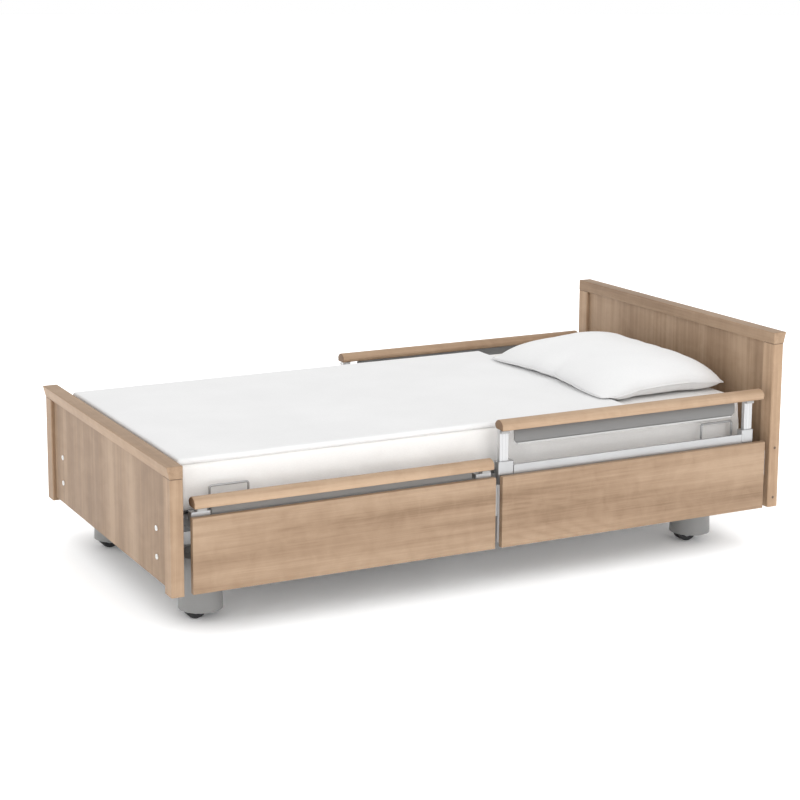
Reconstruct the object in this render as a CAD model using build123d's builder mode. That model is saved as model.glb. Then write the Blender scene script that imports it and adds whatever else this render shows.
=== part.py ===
from build123d import *
from math import cos, radians, sin, tan
import os

# Low hospital and care bed with wooden end boards, wooden side panels, telescopic side guards
# and a four-part lying surface on two telescopic lifting columns. Millimetres.
# +X runs from the foot end to the head end, +Y to the lying person's right, +Z up.
# The floor is z = 0 and the origin is below the middle of the bed.

os.makedirs("parts", exist_ok=True)

# ------------------------------------------------------------------ driving dimensions
INNER_LENGTH = 2060.0  # between the inner faces of the two end boards
OVERALL_WIDTH = 1160.0
HALF_LENGTH = INNER_LENGTH / 2
HALF_WIDTH = OVERALL_WIDTH / 2
WELD_GAP = 0.1  # paint and weld seam between the tubes of one frame

# end boards
POST_WIDTH = 55.0
POST_DEPTH = 40.0
POST_CHAMFER = 3.0
CAP_HEIGHT = 38.0
CAP_FLARE = 10.0
CAP_EDGE = 2.5
BOARD_BOTTOM = 137.0
BOARD_TOPS = {"foot": 521.0, "head": 724.0}
PANEL_RECESS = 11.0
PANEL_LIFT = 12.0  # the board panel ends this far above the posts' feet
BOARD_SCREW_Y = 438.0
BOARD_SCREW_Z = (219.0, 305.0)
SCREW_RADIUS = 3.0
SCREW_HEAD_RADIUS = 8.0
SCREW_HEAD_HEIGHT = 3.0
SCREW_CLEARANCE = 0.1
SLOT_REACH = 0.7  # half length of the driver slots, in head radii
SLOT_WIDTH = 0.15  # half width of the driver slots, in head radii

# side panels
SIDE_PANEL_THICKNESS = 18.0
SIDE_PANEL_TOP = 362.0
SIDE_PANEL_INSET = 1.0
SIDE_PANEL_SPANS = {"foot": (-1003.0, -10.0), "head": (14.0, 1010.0)}
SIDE_PANEL_ROUND = 2.0

# side guards, given in their lowered place
RAIL_SPANS = {"foot": (-996.0, -14.0), "head": (12.0, 1003.0)}
POST_PLACES = {"foot": (-968.0, -36.0), "head": (30.5, 955.5)}
BLOCK_SPANS = {
    "foot": ((-1000.0, -938.0), (-70.0, -14.0)),
    "head": ((9.0, 65.0), (930.0, 976.0)),
}
BLADE_SPANS = {"foot": (-932.0, -76.0), "head": (72.0, 906.0)}
REST_CARRIAGE_LIFT = {"foot": 0.0, "head": 29.0}
REST_RAIL_LIFT = {"foot": 0.0, "head": 117.0}
RAIL_BOTTOM = 388.0
RAIL_TOP = 419.0
RAIL_OUTER = 578.0
RAIL_INNER = 528.0
GUARD_Y = 548.0  # distance of the sliding posts from the bed's middle plane
RAIL_CROWN = 16.0  # height of the rail's domed top above its shoulders
RAIL_CURL = 11.0  # how far the inner edge curls under
RAIL_CURL_BELLY = (2.5, 9.0)  # middle of the curl: inward and down from the shoulder
RAIL_TAPER = 1.0
SLIDE_GAP = 0.5
GUARD_POST = (30.0, 14.0)
GUARD_TUBE = (38.0, 20.0)
GUIDE_TUBE = (46.0, 26.0)
GUIDE_BOTTOM = 150.0
GUIDE_TOP = 333.0
CARRIAGE_BOTTOM = 152.0
BLOCK_BOTTOM = 335.0
BLOCK_TOP = 375.0
BLOCK_DEPTH = (532.0, 560.0)
BLOCK_CORNER = 5.0
GUARD_POST_BOTTOM = 156.0
BAR_HEIGHT = (331.0, 361.5)
BAR_DEPTH = (551.0, 559.0)
BLADE_BOTTOM = 333.0
BLADE_SKIN = 4.0
BLADE_LIP = 5.0
BLADE_CORNER = 14.0
BLADE_TOP_SET = 7.0  # how far the curved blade's top edge stands in from its belly
BLADE_FOOT_SET = 5.0
BLADE_LIP_DEPTH = (11.0, 1.0)
BLADE_CUT_DEPTH = (20.0, 5.0)
TAB_HALF_LENGTH = 15.0
TAB_DEPTH = (556.0, 566.0)
TAB_HEIGHT = (376.5, 384.5)
TAB_CORNER = 3.0
TAB_STEM_RADIUS = 3.0
TAB_STEM_TOP = 397.0
TAB_POCKET_TOP = 403.0
SIDES = {"left": -1, "right": 1}

# lying frame
FRAME_BOTTOM = 310.0
FRAME_TOP = 340.0
FRAME_HALF_LENGTH = 1000.0
FRAME_RAIL_Y = (420.0, 460.0)
FRAME_CROSS_X = (-980.0, -640.0, -200.0, 300.0, 640.0, 980.0)
FRAME_CROSS_WIDTH = 40.0
FRAME_WALL = 3.0
GUARD_ARM_HALF = 15.0
GUARD_ARM_Z = (312.0, 332.0)
GUIDE_PLATE_BOTTOM = 235.0
GUIDE_PLATE_SET = (6.0, 2.0)  # faces of the plate, in from the guide tubes' outer faces

# lying surface
AXIS_Z = 350.0
BACK_X = 200.0
THIGH_X = -5.0
KNEE_X = -335.0
SURFACE_TOP = 358.0
SLAT_THICKNESS = 4.0
SLAT_WIDTH = 46.0
SLAT_PITCH = 84.0
SLAT_HALF_LENGTH = 468.0
RAIL_Z = (342.0, 354.0)
RAIL_Y = (418.0, 442.0)
SURFACE_ENDS = (-990.0, 968.0)
BACK_GAP = 10.0
KNEE_GAP = 14.0
EYE_RADIUS = 8.0
SHAFT_RADIUS = 5.0
SHAFT_CLEARANCE = 0.05
LUG_THICKNESS = 6.0
LUG_REACH = 50.0
LUG_TAIL = 6.5  # how far a lug runs on past its shaft
EYE_SIDE_GAP = 1.0
EYE_ARM_BOTTOM = 344.0
BACK_ANGLE = 70.0
THIGH_ANGLE = 35.0

# mattress, pillow and the wire hoops that keep the mattress in place
MATTRESS_SPAN = (-1003.0, 976.0)
MATTRESS_HALF_WIDTH = 490.0
MATTRESS_TOP = 500.0
MATTRESS_ROUND = 25.0
FOLD_SPARE_DEG = 1.0
FOLD_GAP = 0.6
PILLOW_X = (497.0, 972.0)
PILLOW_Y = (-352.0, 322.0)
PILLOW_TOP = 622.0
PILLOW_CORNER = 70.0
PILLOW_ROUND = 50.0
HOOP_SPANS = {"foot": (-927.0, -799.0), "head": (798.0, 926.0)}
HOOP_TOPS = {"foot": 436.0, "head": 431.0}
HOOP_Y = 512.0
HOOP_WIRE = 3.5
HOOP_BEND = 7.0
HOOP_FOOT_REACH = 14.0  # how far a hoop's feet run in under the slats

# backrest and thigh drives
CROSS_BAR_HALF = 10.0
CROSS_BAR_BOTTOM = 346.0
CROSS_BAR_SET = 32.0  # distance of a cross bar from its hinge
LEVER_DROP = 82.0
LEVER_THICKNESS = 10.0
LEVER_TIP = 8.0  # metal beyond the slot
LEVER_ROOT = (12.0, 42.0)  # where the lever meets the cross bar, from the hinge
LEVER_NECK = 14.0
LEVER_KNUCKLE = (10.0, 12.0)
LEVER_HEEL = (6.0, 10.0)
LEVER_WAIST = 40.0
BACK_LEVER_HALF = 15.5
THIGH_LEVER_HALF = 13.0
BACK_SLOT_HALF = 8.5
THIGH_SLOT_HALF = 6.5
BACK_SLOT = (74.0, 108.0)
THIGH_SLOT = (74.0, 94.0)
DRIVE_Y = 90.0
PIN_RADIUS = 5.0
ROD_RADIUS = 8.0
ROD_BORE = 8.5
CLEVIS_CHEEK = 6.0
CLEVIS_REACH = 30.0
CLEVIS_HALF_HEIGHT = 10.0
CLEVIS_ROOT = 8.0
CLEVIS_NOSE = 9.0  # how far the fork runs on past its pin
DRIVE_TUBE_RADIUS = 16.0
MOTOR_HALF_WIDTH = 32.0
MOTOR_Z = (236.0, 300.0)
MOTOR_LENGTH = 190.0
PAD_HALF = 18.0  # the pads between the cross tubes and what hangs from them
MOTOR_PAD_HALF_WIDTH = 20.0
CONTROL_PAD_Y = (230.0, 290.0)
ROD_GUIDED = 25.0  # length of rod still guided at full stroke
TUBE_SPARE = 10.0
BACK_TUBE_MOUTH = 40.0
THIGH_TUBE_MOUTH = 125.0
CONTROL_BOX = ((-300.0, 190.0, 244.0), (-110.0, 330.0, 300.0))
CONTROL_BOX_CORNER = 12.0

# chassis, lifting columns and castors
CASTOR_X = {"foot": -906.0, "head": 861.0}
CASTOR_Y = 386.0
BEAM_Z = (95.0, 140.0)
BEAM_WIDTH = 50.0
SPINE_Y = 150.0
SPINE_WIDTH = 40.0
COLUMN_X = 640.0
COLUMN_OUTER = (160.0, 116.0)
COLUMN_WALL = 6.0
COLUMN_GAP = 1.0
COLUMN_FLOOR = 56.0
COLUMN_TOP = 304.0
COLUMN_STEP = 4.0
TRAY_THICKNESS = 6.0
TRAY_MARGIN = 10.0
TRAY_CHEEK = 5.0
COVER_BOTTOM = 29.0
COVER_TOP = 205.0
COVER_RADII = (67.0, 61.0)
COVER_WALL = 4.0
COVER_BEVEL = 12.0
COVER_NOTCH_Y = (30.0, 80.0)
COVER_NOTCH_BOTTOM = 56.0
COVER_NOTCH_GAP = 1.0
SOCKET_RADIUS = 16.0
SOCKET_BOTTOM = 92.0
STEM_RADIUS = 9.0
STEM_TOP = 132.0
STEM_HEADROOM = 2.0
WHEEL_RADIUS = 35.0
WHEEL_WIDTH = 16.0
WHEEL_TRAIL = 20.0
WHEEL_ROUND = 5.0
HUB_RADIUS = 21.0
HUB_DEPTH = 2.5
AXLE_RADIUS = 4.0
LEG_HALF_THICKNESS = 5.0
WHEEL_SIDE_GAP = 0.6
CROWN_Z = (76.0, 88.0)
CROWN_RADIUS = 24.0
FORK_FOOT_HALF = 8.0
FORK_ROOT = (-20.0, 18.0)
FORK_HEEL = (-12.0, 12.0)  # the leg's rear bend: back from the axle and down from the crown
FORK_OVERLAP = 1.0
AXLE_OVERLAP = 1.0

# lifting-pole sockets at the head end
POLE_X = 1003.0
POLE_Y = 490.0
POLE_BORE = 16.0
POLE_OUTER = 20.0
POLE_Z = (300.0, 350.0)
POLE_WEB_REACH = 18.0
POLE_WEB_Z = (312.0, 338.0)


# ------------------------------------------------------------------ helpers
def span(low, high, mode=Mode.ADD):
    """A box between two opposite corners, given in any order."""
    size = [abs(b - a) for a, b in zip(low, high)]
    middle = [(a + b) / 2 for a, b in zip(low, high)]
    with Locations(tuple(middle)):
        Box(*size, mode=mode)


def prism_y(points, y_from, y_to, mode=Mode.ADD):
    """An outline of (x, z) points, drawn out along Y."""
    with BuildSketch(Plane.XZ.offset(-max(y_from, y_to))) as outline:
        with BuildLine():
            Polyline(*points, close=True)
        make_face()
    extrude(outline.sketch, amount=abs(y_to - y_from), mode=mode)


def tube_x(x_span, y_span, z_span, wall):
    """A rectangular hollow section along X."""
    middle = (sum(y_span) / 2, sum(z_span) / 2)
    width = abs(y_span[1] - y_span[0])
    height = z_span[1] - z_span[0]
    with BuildSketch(Plane.YZ.offset(x_span[0])) as section:
        with Locations(middle):
            Rectangle(width, height)
            Rectangle(width - 2 * wall, height - 2 * wall, mode=Mode.SUBTRACT)
    extrude(section.sketch, amount=x_span[1] - x_span[0])


def tube_y(x_span, y_span, z_span, wall):
    """A rectangular hollow section along Y."""
    middle = (sum(x_span) / 2, sum(z_span) / 2)
    width = x_span[1] - x_span[0]
    height = z_span[1] - z_span[0]
    with BuildSketch(Plane.XZ.offset(-y_span[1])) as section:
        with Locations(middle):
            Rectangle(width, height)
            Rectangle(width - 2 * wall, height - 2 * wall, mode=Mode.SUBTRACT)
    extrude(section.sketch, amount=y_span[1] - y_span[0])


def tube_z(middle, size, hole, z_span):
    """A rectangular hollow section along Z."""
    with BuildSketch(Plane.XY.offset(z_span[0])) as section:
        with Locations(middle):
            Rectangle(*size)
            Rectangle(*hole, mode=Mode.SUBTRACT)
    extrude(section.sketch, amount=z_span[1] - z_span[0])


def disc_x(y, z, radius, x_from, x_to, mode=Mode.ADD):
    """A cylinder along X."""
    with BuildSketch(Plane.YZ.offset(min(x_from, x_to))) as section:
        with Locations((y, z)):
            Circle(radius)
    extrude(section.sketch, amount=abs(x_to - x_from), mode=mode)


def disc_y(x, z, radius, y_from, y_to, mode=Mode.ADD):
    """A cylinder along Y."""
    with BuildSketch(Plane.XZ.offset(-max(y_from, y_to))) as section:
        with Locations((x, z)):
            Circle(radius)
    extrude(section.sketch, amount=abs(y_to - y_from), mode=mode)


def disc_z(x, y, radius, z_from, z_to, mode=Mode.ADD):
    """A cylinder along Z."""
    with BuildSketch(Plane.XY.offset(z_from)) as section:
        with Locations((x, y)):
            Circle(radius)
    extrude(section.sketch, amount=z_to - z_from, mode=mode)


# ------------------------------------------------------------------ end boards
PANEL_HALF = HALF_WIDTH - POST_WIDTH
PANEL_NEAR = HALF_LENGTH + PANEL_RECESS
PANEL_FAR = HALF_LENGTH + POST_DEPTH - PANEL_RECESS
BRACKET_PLATE = 6.0

for end, direction in (("foot", -1), ("head", 1)):
    cap_bottom = BOARD_TOPS[end] - CAP_HEIGHT
    inner_face = direction * HALF_LENGTH
    outer_face = direction * (HALF_LENGTH + POST_DEPTH)
    flare_face = direction * (HALF_LENGTH + POST_DEPTH + CAP_FLARE)

    with BuildPart() as board_panel:
        span(
            (direction * PANEL_NEAR, -PANEL_HALF, BOARD_BOTTOM + PANEL_LIFT),
            (direction * PANEL_FAR, PANEL_HALF, cap_bottom),
        )
        for y in (-BOARD_SCREW_Y, BOARD_SCREW_Y):
            for z in BOARD_SCREW_Z:
                disc_x(
                    y, z, SCREW_RADIUS + SCREW_CLEARANCE,
                    direction * PANEL_NEAR, direction * PANEL_FAR, Mode.SUBTRACT,
                )
    board_panel.part.label = f"{end}board_panel"
    export_step(board_panel.part, f"parts/{end}board_panel.step")

    with BuildPart() as board_posts:
        for side in (-1, 1):
            span(
                (inner_face, side * PANEL_HALF, BOARD_BOTTOM),
                (outer_face, side * HALF_WIDTH, cap_bottom),
            )
        chamfer(board_posts.edges().filter_by(Axis.Z), POST_CHAMFER)
    board_posts.part.label = f"{end}board_posts"
    export_step(board_posts.part, f"parts/{end}board_posts.step")

    with BuildPart() as board_cap:
        prism_y(
            [
                (inner_face, cap_bottom),
                (outer_face, cap_bottom),
                (flare_face, BOARD_TOPS[end]),
                (inner_face, BOARD_TOPS[end]),
            ],
            -HALF_WIDTH, HALF_WIDTH,
        )
        fillet(board_cap.edges(), CAP_EDGE)
    board_cap.part.label = f"{end}board_cap"
    export_step(board_cap.part, f"parts/{end}board_cap.step")

with BuildPart() as board_screws:
    for direction in (-1, 1):
        head_face = direction * PANEL_FAR
        for y in (-BOARD_SCREW_Y, BOARD_SCREW_Y):
            for z in BOARD_SCREW_Z:
                head_top = head_face + direction * SCREW_HEAD_HEIGHT
                shank_end = direction * (PANEL_NEAR - BRACKET_PLATE)
                disc_x(y, z, SCREW_RADIUS, shank_end, head_face)
                disc_x(y, z, SCREW_HEAD_RADIUS, head_face, head_top)
                slot_floor = head_top - direction * SCREW_HEAD_HEIGHT / 2
                slot_half = SCREW_HEAD_RADIUS * SLOT_REACH
                slot_edge = SCREW_HEAD_RADIUS * SLOT_WIDTH
                span(
                    (slot_floor, y - slot_half, z - slot_edge),
                    (head_top, y + slot_half, z + slot_edge), Mode.SUBTRACT,
                )
                span(
                    (slot_floor, y - slot_edge, z - slot_half),
                    (head_top, y + slot_edge, z + slot_half), Mode.SUBTRACT,
                )
board_screws.part.label = "board_screws"
export_step(board_screws.part, "parts/board_screws.step")

# Brackets between the lying frame and the end boards: a screw plate behind the board panel,
# an arm back to the frame and an outer plate that bears on the post.
PLATE_Z = (200.0, 340.0)
PLATE_Y = (418.0, 458.0)
POST_PLATE_Y = (PLATE_Y[1], 556.0)
POST_PLATE_Z = (243.0, 325.0)
ARM_Z = (FRAME_BOTTOM, FRAME_TOP)
BOLT_RADIUS = 7.0
BOLT_HEIGHT = 5.0

with BuildPart() as board_brackets:
    for direction in (-1, 1):
        plate_front = direction * (PANEL_NEAR - BRACKET_PLATE)
        for side in (-1, 1):
            span(
                (plate_front, side * PLATE_Y[0], PLATE_Z[0]),
                (direction * PANEL_NEAR, side * PLATE_Y[1], PLATE_Z[1]),
            )
            span(
                (direction * FRAME_HALF_LENGTH, side * FRAME_RAIL_Y[0], ARM_Z[0]),
                (plate_front, side * PLATE_Y[1], ARM_Z[1]),
            )
            span(
                (direction * (HALF_LENGTH - BRACKET_PLATE), side * PLATE_Y[0], POST_PLATE_Z[0]),
                (direction * HALF_LENGTH, side * POST_PLATE_Y[1], POST_PLATE_Z[1]),
            )
            span(
                (direction * HALF_LENGTH, side * PLATE_Y[0], POST_PLATE_Z[0]),
                (plate_front, side * PLATE_Y[1], POST_PLATE_Z[1]),
            )
            disc_x(
                side * (POST_PLATE_Y[1] - 2 * BOLT_RADIUS), sum(POST_PLATE_Z) / 2, BOLT_RADIUS,
                direction * (HALF_LENGTH - BRACKET_PLATE),
                direction * (HALF_LENGTH - BRACKET_PLATE - BOLT_HEIGHT),
            )
            for z in BOARD_SCREW_Z:
                disc_x(
                    side * BOARD_SCREW_Y, z, SCREW_RADIUS + SCREW_CLEARANCE,
                    direction * (HALF_LENGTH - BRACKET_PLATE), direction * PANEL_NEAR,
                    Mode.SUBTRACT,
                )
board_brackets.part.label = "board_brackets"
export_step(board_brackets.part, "parts/board_brackets.step")

# ------------------------------------------------------------------ side panels
PANEL_OUTER_Y = HALF_WIDTH - SIDE_PANEL_INSET
PANEL_INNER_Y = PANEL_OUTER_Y - SIDE_PANEL_THICKNESS

for end, (x_from, x_to) in SIDE_PANEL_SPANS.items():
    for side_name, side in SIDES.items():
        with BuildPart() as side_panel:
            span(
                (x_from, side * PANEL_INNER_Y, BOARD_BOTTOM),
                (x_to, side * PANEL_OUTER_Y, SIDE_PANEL_TOP),
            )
            fillet(side_panel.edges().filter_by(Axis.X), SIDE_PANEL_ROUND)
        side_panel.part.label = f"side_panel_{end}_{side_name}"
        export_step(side_panel.part, f"parts/side_panel_{end}_{side_name}.step")


# ------------------------------------------------------------------ side guards
def hollow(outer):
    """The inside of a guard tube: the next smaller section with its sliding gap."""
    inner = GUARD_POST if outer == GUARD_TUBE else GUARD_TUBE
    return (inner[0] + 2 * SLIDE_GAP, inner[1] + 2 * SLIDE_GAP)


def guard_rail(end, side):
    """The wooden hand rail: a domed top whose inner edge curls under."""
    lift = REST_RAIL_LIFT[end]
    bottom = RAIL_BOTTOM + lift
    x_from, x_to = RAIL_SPANS[end]
    shoulder = RAIL_TOP + lift - RAIL_CROWN
    curl = RAIL_INNER + RAIL_CURL
    belly_in, belly_down = RAIL_CURL_BELLY
    with BuildPart() as rail:
        with BuildSketch(Plane.YZ.offset(x_from)):
            with BuildLine():
                Line((side * (RAIL_OUTER - RAIL_TAPER), bottom), (side * RAIL_OUTER, shoulder))
                ThreePointArc(
                    (side * RAIL_OUTER, shoulder),
                    (side * (RAIL_OUTER + RAIL_INNER) / 2, RAIL_TOP + lift),
                    (side * RAIL_INNER, shoulder),
                )
                ThreePointArc(
                    (side * RAIL_INNER, shoulder),
                    (side * (RAIL_INNER + belly_in), shoulder - belly_down),
                    (side * curl, bottom),
                )
                Line((side * curl, bottom), (side * (RAIL_OUTER - RAIL_TAPER), bottom))
            make_face()
        extrude(amount=x_to - x_from)
        for x in POST_PLACES[end]:
            disc_z(
                x, side * sum(TAB_DEPTH) / 2, TAB_STEM_RADIUS + SCREW_CLEARANCE,
                bottom, TAB_POCKET_TOP + lift, Mode.SUBTRACT,
            )
    return rail


def guard_blade(end, side):
    """The curved metal blade below the rail, and the two posts that slide in the carriage."""
    lift = REST_RAIL_LIFT[end]
    x_from, x_to = BLADE_SPANS[end]
    top = RAIL_BOTTOM + lift
    bottom = BLADE_BOTTOM + lift
    belly = (top + bottom) / 2
    head_y = GUARD_Y - BLADE_TOP_SET
    foot_y = GUARD_Y - BLADE_FOOT_SET
    lip_in, lip_out = BLADE_LIP_DEPTH
    cut_in, cut_out = BLADE_CUT_DEPTH
    with BuildPart() as blade:
        with BuildSketch(Plane.YZ.offset(x_from)):
            with BuildLine():
                ThreePointArc(
                    (side * head_y, top), (side * GUARD_Y, belly), (side * foot_y, bottom),
                )
                Line((side * foot_y, bottom), (side * (foot_y - BLADE_SKIN), bottom))
                ThreePointArc(
                    (side * (foot_y - BLADE_SKIN), bottom),
                    (side * (GUARD_Y - BLADE_SKIN), belly),
                    (side * (head_y - BLADE_SKIN), top),
                )
                Line((side * (head_y - BLADE_SKIN), top), (side * head_y, top))
            make_face()
        extrude(amount=x_to - x_from)
        span(
            (x_from, side * (GUARD_Y - lip_in), bottom),
            (x_to, side * (GUARD_Y - lip_out), bottom + BLADE_LIP),
        )
        for x, step in ((x_from, 1), (x_to, -1)):
            prism_y(
                [(x, bottom), (x + step * BLADE_CORNER, bottom), (x, bottom + BLADE_CORNER)],
                side * (GUARD_Y - cut_in), side * (GUARD_Y + cut_out), Mode.SUBTRACT,
            )
        for x in POST_PLACES[end]:
            half_x = GUARD_POST[0] / 2
            half_y = GUARD_POST[1] / 2
            span(
                (x - half_x, side * (GUARD_Y - half_y), GUARD_POST_BOTTOM + lift),
                (x + half_x, side * (GUARD_Y + half_y), top),
            )
    return blade


def guard_carriage(end, side):
    """The middle stage: two tubes with corner blocks and the aluminium bar between them."""
    lift = REST_CARRIAGE_LIFT[end]
    with BuildPart() as carriage:
        for x, (block_from, block_to) in zip(POST_PLACES[end], BLOCK_SPANS[end]):
            tube_z(
                (x, side * GUARD_Y), GUARD_TUBE, hollow(GUARD_TUBE),
                (CARRIAGE_BOTTOM + lift, BLOCK_BOTTOM + lift),
            )
            with BuildSketch(Plane.XY.offset(BLOCK_BOTTOM + lift)) as block:
                with Locations(((block_from + block_to) / 2, side * sum(BLOCK_DEPTH) / 2)):
                    RectangleRounded(
                        block_to - block_from, BLOCK_DEPTH[1] - BLOCK_DEPTH[0], BLOCK_CORNER,
                    )
                with Locations((x, side * GUARD_Y)):
                    Rectangle(*hollow(GUARD_TUBE), mode=Mode.SUBTRACT)
            extrude(block.sketch, amount=BLOCK_TOP - BLOCK_BOTTOM)
        (_, bar_from), (bar_to, _) = BLOCK_SPANS[end]
        span(
            (bar_from + WELD_GAP, side * BAR_DEPTH[0], BAR_HEIGHT[0] + lift),
            (bar_to - WELD_GAP, side * BAR_DEPTH[1], BAR_HEIGHT[1] + lift),
        )
    return carriage


def guard_release(end, side):
    """Two small release tabs under the rail, each on a stem that rises into the rail."""
    lift = REST_RAIL_LIFT[end]
    with BuildPart() as release:
        for x in POST_PLACES[end]:
            span(
                (x - TAB_HALF_LENGTH, side * TAB_DEPTH[0], TAB_HEIGHT[0] + lift),
                (x + TAB_HALF_LENGTH, side * TAB_DEPTH[1], TAB_HEIGHT[1] + lift),
            )
        fillet(release.edges().filter_by(Axis.Z), TAB_CORNER)
        for x in POST_PLACES[end]:
            disc_z(
                x, side * sum(TAB_DEPTH) / 2, TAB_STEM_RADIUS,
                TAB_HEIGHT[1] + lift, TAB_STEM_TOP + lift,
            )
    return release


for end in ("foot", "head"):
    for side_name, side in SIDES.items():
        for kind, make in (
            ("rail", guard_rail),
            ("blade", guard_blade),
            ("carriage", guard_carriage),
            ("release", guard_release),
        ):
            guard_piece = make(end, side)
            guard_piece.part.label = f"guard_{kind}_{end}_{side_name}"
            export_step(guard_piece.part, f"parts/guard_{kind}_{end}_{side_name}.step")

# Fixed guide tubes behind the side panels, each welded to an arm from the lying frame. A plate
# is welded between the two tubes in the middle of each side.
guide_half = GUIDE_TUBE[0] / 2 + WELD_GAP
arm_end = GUARD_Y - GUIDE_TUBE[1] / 2 - WELD_GAP
plate_outer = GUARD_Y + GUIDE_TUBE[1] / 2

with BuildPart() as guard_guides:
    for side in (-1, 1):
        for end in ("foot", "head"):
            for x in POST_PLACES[end]:
                tube_z(
                    (x, side * GUARD_Y), GUIDE_TUBE, hollow(GUIDE_TUBE),
                    (GUIDE_BOTTOM, GUIDE_TOP),
                )
                span(
                    (x - GUARD_ARM_HALF, side * arm_end, GUARD_ARM_Z[0]),
                    (x + GUARD_ARM_HALF, side * FRAME_RAIL_Y[1], GUARD_ARM_Z[1]),
                )
        span(
            (
                POST_PLACES["foot"][1] + guide_half,
                side * (plate_outer - GUIDE_PLATE_SET[0]), GUIDE_PLATE_BOTTOM,
            ),
            (
                POST_PLACES["head"][0] - guide_half,
                side * (plate_outer - GUIDE_PLATE_SET[1]), GUIDE_TOP,
            ),
        )
guard_guides.part.label = "guard_guides"
export_step(guard_guides.part, "parts/guard_guides.step")

# ------------------------------------------------------------------ lying frame
with BuildPart() as lying_frame_tubes:
    for side in (-1, 1):
        y_span = sorted((side * FRAME_RAIL_Y[0], side * FRAME_RAIL_Y[1]))
        tube_x(
            (-FRAME_HALF_LENGTH, FRAME_HALF_LENGTH), y_span, (FRAME_BOTTOM, FRAME_TOP),
            FRAME_WALL,
        )
    for x in FRAME_CROSS_X:
        tube_y(
            (x - FRAME_CROSS_WIDTH / 2, x + FRAME_CROSS_WIDTH / 2),
            (-FRAME_RAIL_Y[0] + WELD_GAP, FRAME_RAIL_Y[0] - WELD_GAP),
            (FRAME_BOTTOM, FRAME_TOP), FRAME_WALL,
        )
lying_frame_tubes.part.label = "lying_frame_tubes"
export_step(lying_frame_tubes.part, "parts/lying_frame_tubes.step")

with BuildPart() as pole_sockets:
    for side in (-1, 1):
        disc_z(POLE_X, side * POLE_Y, POLE_OUTER, *POLE_Z)
        span(
            (POLE_X - POLE_WEB_REACH, side * FRAME_RAIL_Y[1], POLE_WEB_Z[0]),
            (FRAME_HALF_LENGTH, side * POLE_Y, POLE_WEB_Z[1]),
        )
        disc_z(POLE_X, side * POLE_Y, POLE_BORE, *POLE_Z, Mode.SUBTRACT)
pole_sockets.part.label = "pole_sockets"
export_step(pole_sockets.part, "parts/pole_sockets.step")


# ------------------------------------------------------------------ lying surface
def slats(x_from, x_to):
    """Flat cross slats, evenly spread over one section."""
    count = max(2, round((x_to - x_from - SLAT_WIDTH) / SLAT_PITCH) + 1)
    pitch = (x_to - x_from - SLAT_WIDTH) / (count - 1)
    for number in range(count):
        x = x_from + number * pitch
        span(
            (x, -SLAT_HALF_LENGTH, SURFACE_TOP - SLAT_THICKNESS + WELD_GAP),
            (x + SLAT_WIDTH, SLAT_HALF_LENGTH, SURFACE_TOP),
        )


def side_rails(x_from, x_to, bottom=RAIL_Z[0]):
    """The two rails that carry a section's slats."""
    for side in (-1, 1):
        span((x_from, side * RAIL_Y[0], bottom), (x_to, side * RAIL_Y[1], RAIL_Z[1]))


def hinge_shaft(x, toward):
    """A cross shaft welded between two lugs, which stand outside the rails towards one side."""
    for side in (-1, 1):
        span(
            (x - toward * LUG_TAIL, side * RAIL_Y[1], RAIL_Z[0]),
            (x + toward * LUG_REACH, side * (RAIL_Y[1] + LUG_THICKNESS), RAIL_Z[1]),
        )
    disc_y(x, AXIS_Z, SHAFT_RADIUS, -RAIL_Y[1] + WELD_GAP, RAIL_Y[1] - WELD_GAP)


def hinge_eyes(x, rail_end):
    """Eyes on the ends of a section's rails, bored for the cross shaft at x."""
    for side in (-1, 1):
        y_from = side * (RAIL_Y[0] + EYE_SIDE_GAP)
        y_to = side * (RAIL_Y[1] - EYE_SIDE_GAP)
        disc_y(x, AXIS_Z, EYE_RADIUS, y_from, y_to)
        span((x, y_from, EYE_ARM_BOTTOM), (rail_end, y_to, RAIL_Z[1]))
        disc_y(x, AXIS_Z, SHAFT_RADIUS + SHAFT_CLEARANCE, y_from, y_to, Mode.SUBTRACT)


def cross_bar(x):
    """The bar between a section's rails that its drive lever hangs from."""
    span(
        (x - CROSS_BAR_HALF, -RAIL_Y[0] + WELD_GAP, CROSS_BAR_BOTTOM),
        (x + CROSS_BAR_HALF, RAIL_Y[0] - WELD_GAP, SURFACE_TOP - SLAT_THICKNESS),
    )


def drive_lever(x_hinge, angle, toward, y, slot_half, slot_span, half_width):
    """A slotted lever. angle is its slant from straight down at rest, positive to +X."""
    down = (sin(radians(angle)), -cos(radians(angle)))
    across = (cos(radians(angle)), sin(radians(angle)))

    def at(reach, offset):
        """A point in (x, z), by its distance along the lever and across it."""
        x = x_hinge + reach * down[0] + offset * across[0]
        return (x, AXIS_Z + reach * down[1] + offset * across[1])

    tip = slot_span[1] + LEVER_TIP
    near = toward * half_width
    root_top = CROSS_BAR_BOTTOM - WELD_GAP
    root_near, root_far = LEVER_ROOT
    y_from = y - LEVER_THICKNESS / 2
    y_to = y + LEVER_THICKNESS / 2
    prism_y(
        [
            (x_hinge + toward * root_near, root_top),
            (x_hinge + toward * root_far, root_top),
            (x_hinge + toward * root_far, AXIS_Z - LEVER_NECK),
            at(tip, near),
            at(tip, -near),
            at(LEVER_WAIST, -near),
            (x_hinge - toward * LEVER_KNUCKLE[0], AXIS_Z - LEVER_KNUCKLE[1]),
            (x_hinge + toward * LEVER_HEEL[0], AXIS_Z - LEVER_HEEL[1]),
        ],
        y_from, y_to,
    )
    prism_y(
        [
            at(slot_span[0], -slot_half),
            at(slot_span[0], slot_half),
            at(slot_span[1], slot_half),
            at(slot_span[1], -slot_half),
        ],
        y_from, y_to, Mode.SUBTRACT,
    )


BACK_LEVER_ANGLE = -BACK_ANGLE / 2
THIGH_LEVER_ANGLE = THIGH_ANGLE / 2

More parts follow.
